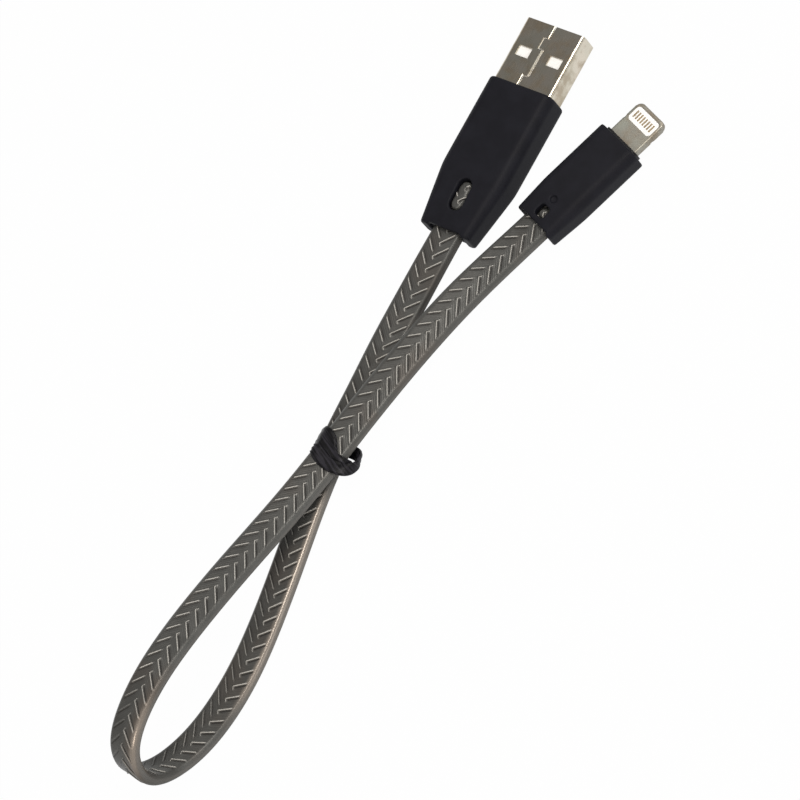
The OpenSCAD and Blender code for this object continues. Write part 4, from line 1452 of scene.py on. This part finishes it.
@dataclass
class Studio:
    """Floor, lights and camera.

    Heights in the room's light run from 0 at the horizon to 1 overhead.
    """

    target: Place = (-42.119 * MM, -5.548 * MM, 0.0)
    forward: Place = (0.1592, 0.5208, -0.8387)
    flat_right: Place = (0.9563, -0.2924, 0.0)
    flat_up: Place = (0.2452, 0.8020, 0.5446)
    roll: float = math.radians(46.5)
    distance: float = 0.624
    lens: float = 170.2
    sensor: float = 36.0
    sight: Span = (0.01, 20.0)
    floor_half: float = 2.0
    floor_drop: float = 0.05 * MM
    floor_grey: Colour = (0.5, 0.5, 0.5)
    floor_white: float = 0.985
    white: Colour = (1.0, 1.0, 1.0)
    ambient: Colour = (0.30, 0.30, 0.305)
    low_shine: Colour = (0.95, 0.94, 0.91)
    mid_shine: Colour = (0.42, 0.415, 0.40)
    high_shine: Colour = (0.20, 0.20, 0.205)
    mid_height: Span = (0.0, 0.3)
    high_height: Span = (0.3, 0.75)
    lamps: tuple[Lamp, ...] = (
        Lamp("high_box", (0.276, -0.173, 0.946), 0.8, (0.36, 0.28), 3.4, (1.0, 0.95, 0.89)),
        Lamp("left_box", (-0.591, -0.314, 0.743), 0.8, (0.24, 0.24), 1.5, (1.0, 0.9, 0.8)),
        Lamp("strip_box", (0.176, -0.855, 0.488), 0.8, (0.22, 0.24), 0.31),
        Lamp("front_fill", (0.16, -0.87, 0.45), 0.8, (0.9, 0.6), 1.8, in_gloss=False),
        Lamp("overhead_box", (-0.1, 0.2, 0.97), 0.9, (0.7, 0.7), 0.7, in_gloss=False),
    )

    def camera(self) -> None:
        """Set the photo's camera."""
        data = bpy.data.cameras.new("camera")
        data.lens = self.lens
        data.sensor_width = self.sensor
        data.clip_start, data.clip_end = self.sight
        right, up = Vector(self.flat_right), Vector(self.flat_up)
        cos, sin = math.cos(self.roll), math.sin(self.roll)
        turned_right = (cos * right - sin * up).normalized()
        turned_up = (sin * right + cos * up).normalized()
        back = turned_right.cross(turned_up).normalized()
        turn = Matrix((turned_right, turned_up, back)).transposed().to_4x4()
        spot = Vector(self.target) - Vector(self.forward).normalized() * self.distance
        made = Maker.linked("camera", data)
        made.matrix_world = Matrix.Translation(spot) @ turn
        bpy.context.scene.camera = made

    def floor(self) -> None:
        """Lay a white floor that keeps the cable's shadow."""
        half, low = self.floor_half, -self.floor_drop
        points = np.array([(-half, -half, low), (half, -half, low), (half, half, low), (-half, half, low)])
        floor = Maker.piece("floor", points, [(0, 1, 2, 3)])
        material = bpy.data.materials.new("floor_white")
        material.use_nodes = True
        material.node_tree.nodes.clear()
        graph = Graph(material.node_tree)
        path = graph.add("ShaderNodeLightPath")
        seen = graph.out(path, "Is Camera Ray").at_least(graph.out(path, "Is Glossy Ray"))
        seen = seen.at_least(graph.out(path, "Is Transmission Ray"))
        plain = graph.add("ShaderNodeBsdfDiffuse", None, {"Color": (*self.floor_grey, 1.0)})
        bright = graph.add("ShaderNodeEmission", None, {"Color": (*self.white, 1.0), "Strength": 1.0})
        shaders = {0: seen * self.floor_white, 1: graph.out(plain), 2: graph.out(bright)}
        both = graph.add("ShaderNodeMixShader", None, shaders)
        graph.add("ShaderNodeOutputMaterial", None, {"Surface": graph.out(both)})
        Maker.dress(floor, material)

    def lights(self) -> None:
        """Light the room: even from all round, darker overhead in reflections, white to the camera."""
        world = bpy.data.worlds.new("room")
        world.use_nodes = True
        world.node_tree.nodes.clear()
        graph = Graph(world.node_tree)
        path = graph.add("ShaderNodeLightPath")
        place = graph.out(graph.add("ShaderNodeTexCoord"), "Generated")
        height = graph.out(graph.add("ShaderNodeSeparateXYZ", None, {"Vector": place}), "Z")
        shine = graph.mix(height.step(*self.mid_height), self.low_shine, self.mid_shine)
        shine = graph.mix(height.step(*self.high_height), shine, self.high_shine)
        soft = graph.mix(graph.out(path, "Is Glossy Ray"), self.ambient, shine)
        seen = graph.mix(graph.out(path, "Is Camera Ray"), soft, self.white)
        light = graph.add("ShaderNodeBackground", None, {"Color": seen, "Strength": 1.0})
        graph.add("ShaderNodeOutputWorld", None, {"Surface": graph.out(light)})
        bpy.context.scene.world = world
        for lamp in self.lamps:
            lamp.hang(self.target)
        bpy.context.scene.view_settings.view_transform = "Standard"


CAD_FINISHES: dict[str, tuple[str, ...]] = {
    "white": ("host_insulator", "tab_insulator"),
    "gold": ("host_contacts", "tab_contacts_top", "tab_contacts_bottom"),
    "copper": ("host_wire_ends", "device_wire_ends"),
    "solder": ("host_solder", "device_solder"),
    "ivory": ("host_inner_mould",),
    "board": ("circuit_board",),
    "chip": ("control_chip",),
    "shield": ("device_shield",),
    "collar": ("device_inner_mould",),
    "red": ("power_core",),
    "black": ("ground_core",),
    "green": ("data_core_plus",),
    "pale": ("data_core_minus",),
}


def settle(piece: bpy.types.Object, slot: str, *nodes: str) -> None:
    """Let a piece ride on the body and stand for its nodes.

    Args:
        piece: The finished piece.
        slot: Not used.
        nodes: The CAD nodes that it replaces.
    """
    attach(piece, BODY)
    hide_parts(*nodes)
    log.info("%s: %d faces, stands for %s", piece.name, len(piece.data.polygons), ", ".join(nodes))


def main() -> None:
    """Build the camera and the cord, then the plugs."""
    logging.basicConfig(level=logging.INFO, format="%(name)s %(message)s")
    palette = Palette()
    made: dict[str, bpy.types.Material] = {}

    def finish(name: str) -> bpy.types.Material:
        """The named finish, made once."""
        if name not in made:
            made[name] = getattr(palette, name).material()
        return made[name]

    studio = Studio()
    studio.camera()
    strap = Strap()
    cord = strap.build(finish("strap"))
    settle(cord, "strap_gunmetal", "strap_jacket")
    tie = Tie().build(finish("tie"))
    settle(tie, "tie_black", "cable_tie")

    device = DevicePlug()
    device_body = device.overmould(finish("rubber"))
    settle(device_body, "overmould_black", "device_overmould")
    tab = device.tab(finish("tab"))
    settle(tab, "tab_steel", "tab_frame")
    strap.path()

    host = HostPlug()
    settle(host.overmould(finish("rubber")), "overmould_black", "host_overmould")
    settle(host.shell(finish("shell")), "plug_steel", "host_shell")
    for name, nodes in CAD_FINISHES.items():
        for node in nodes:
            Maker.dress(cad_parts[node], finish(name))

    studio.floor()
    studio.lights()


if __name__ == "__main__":
    main()
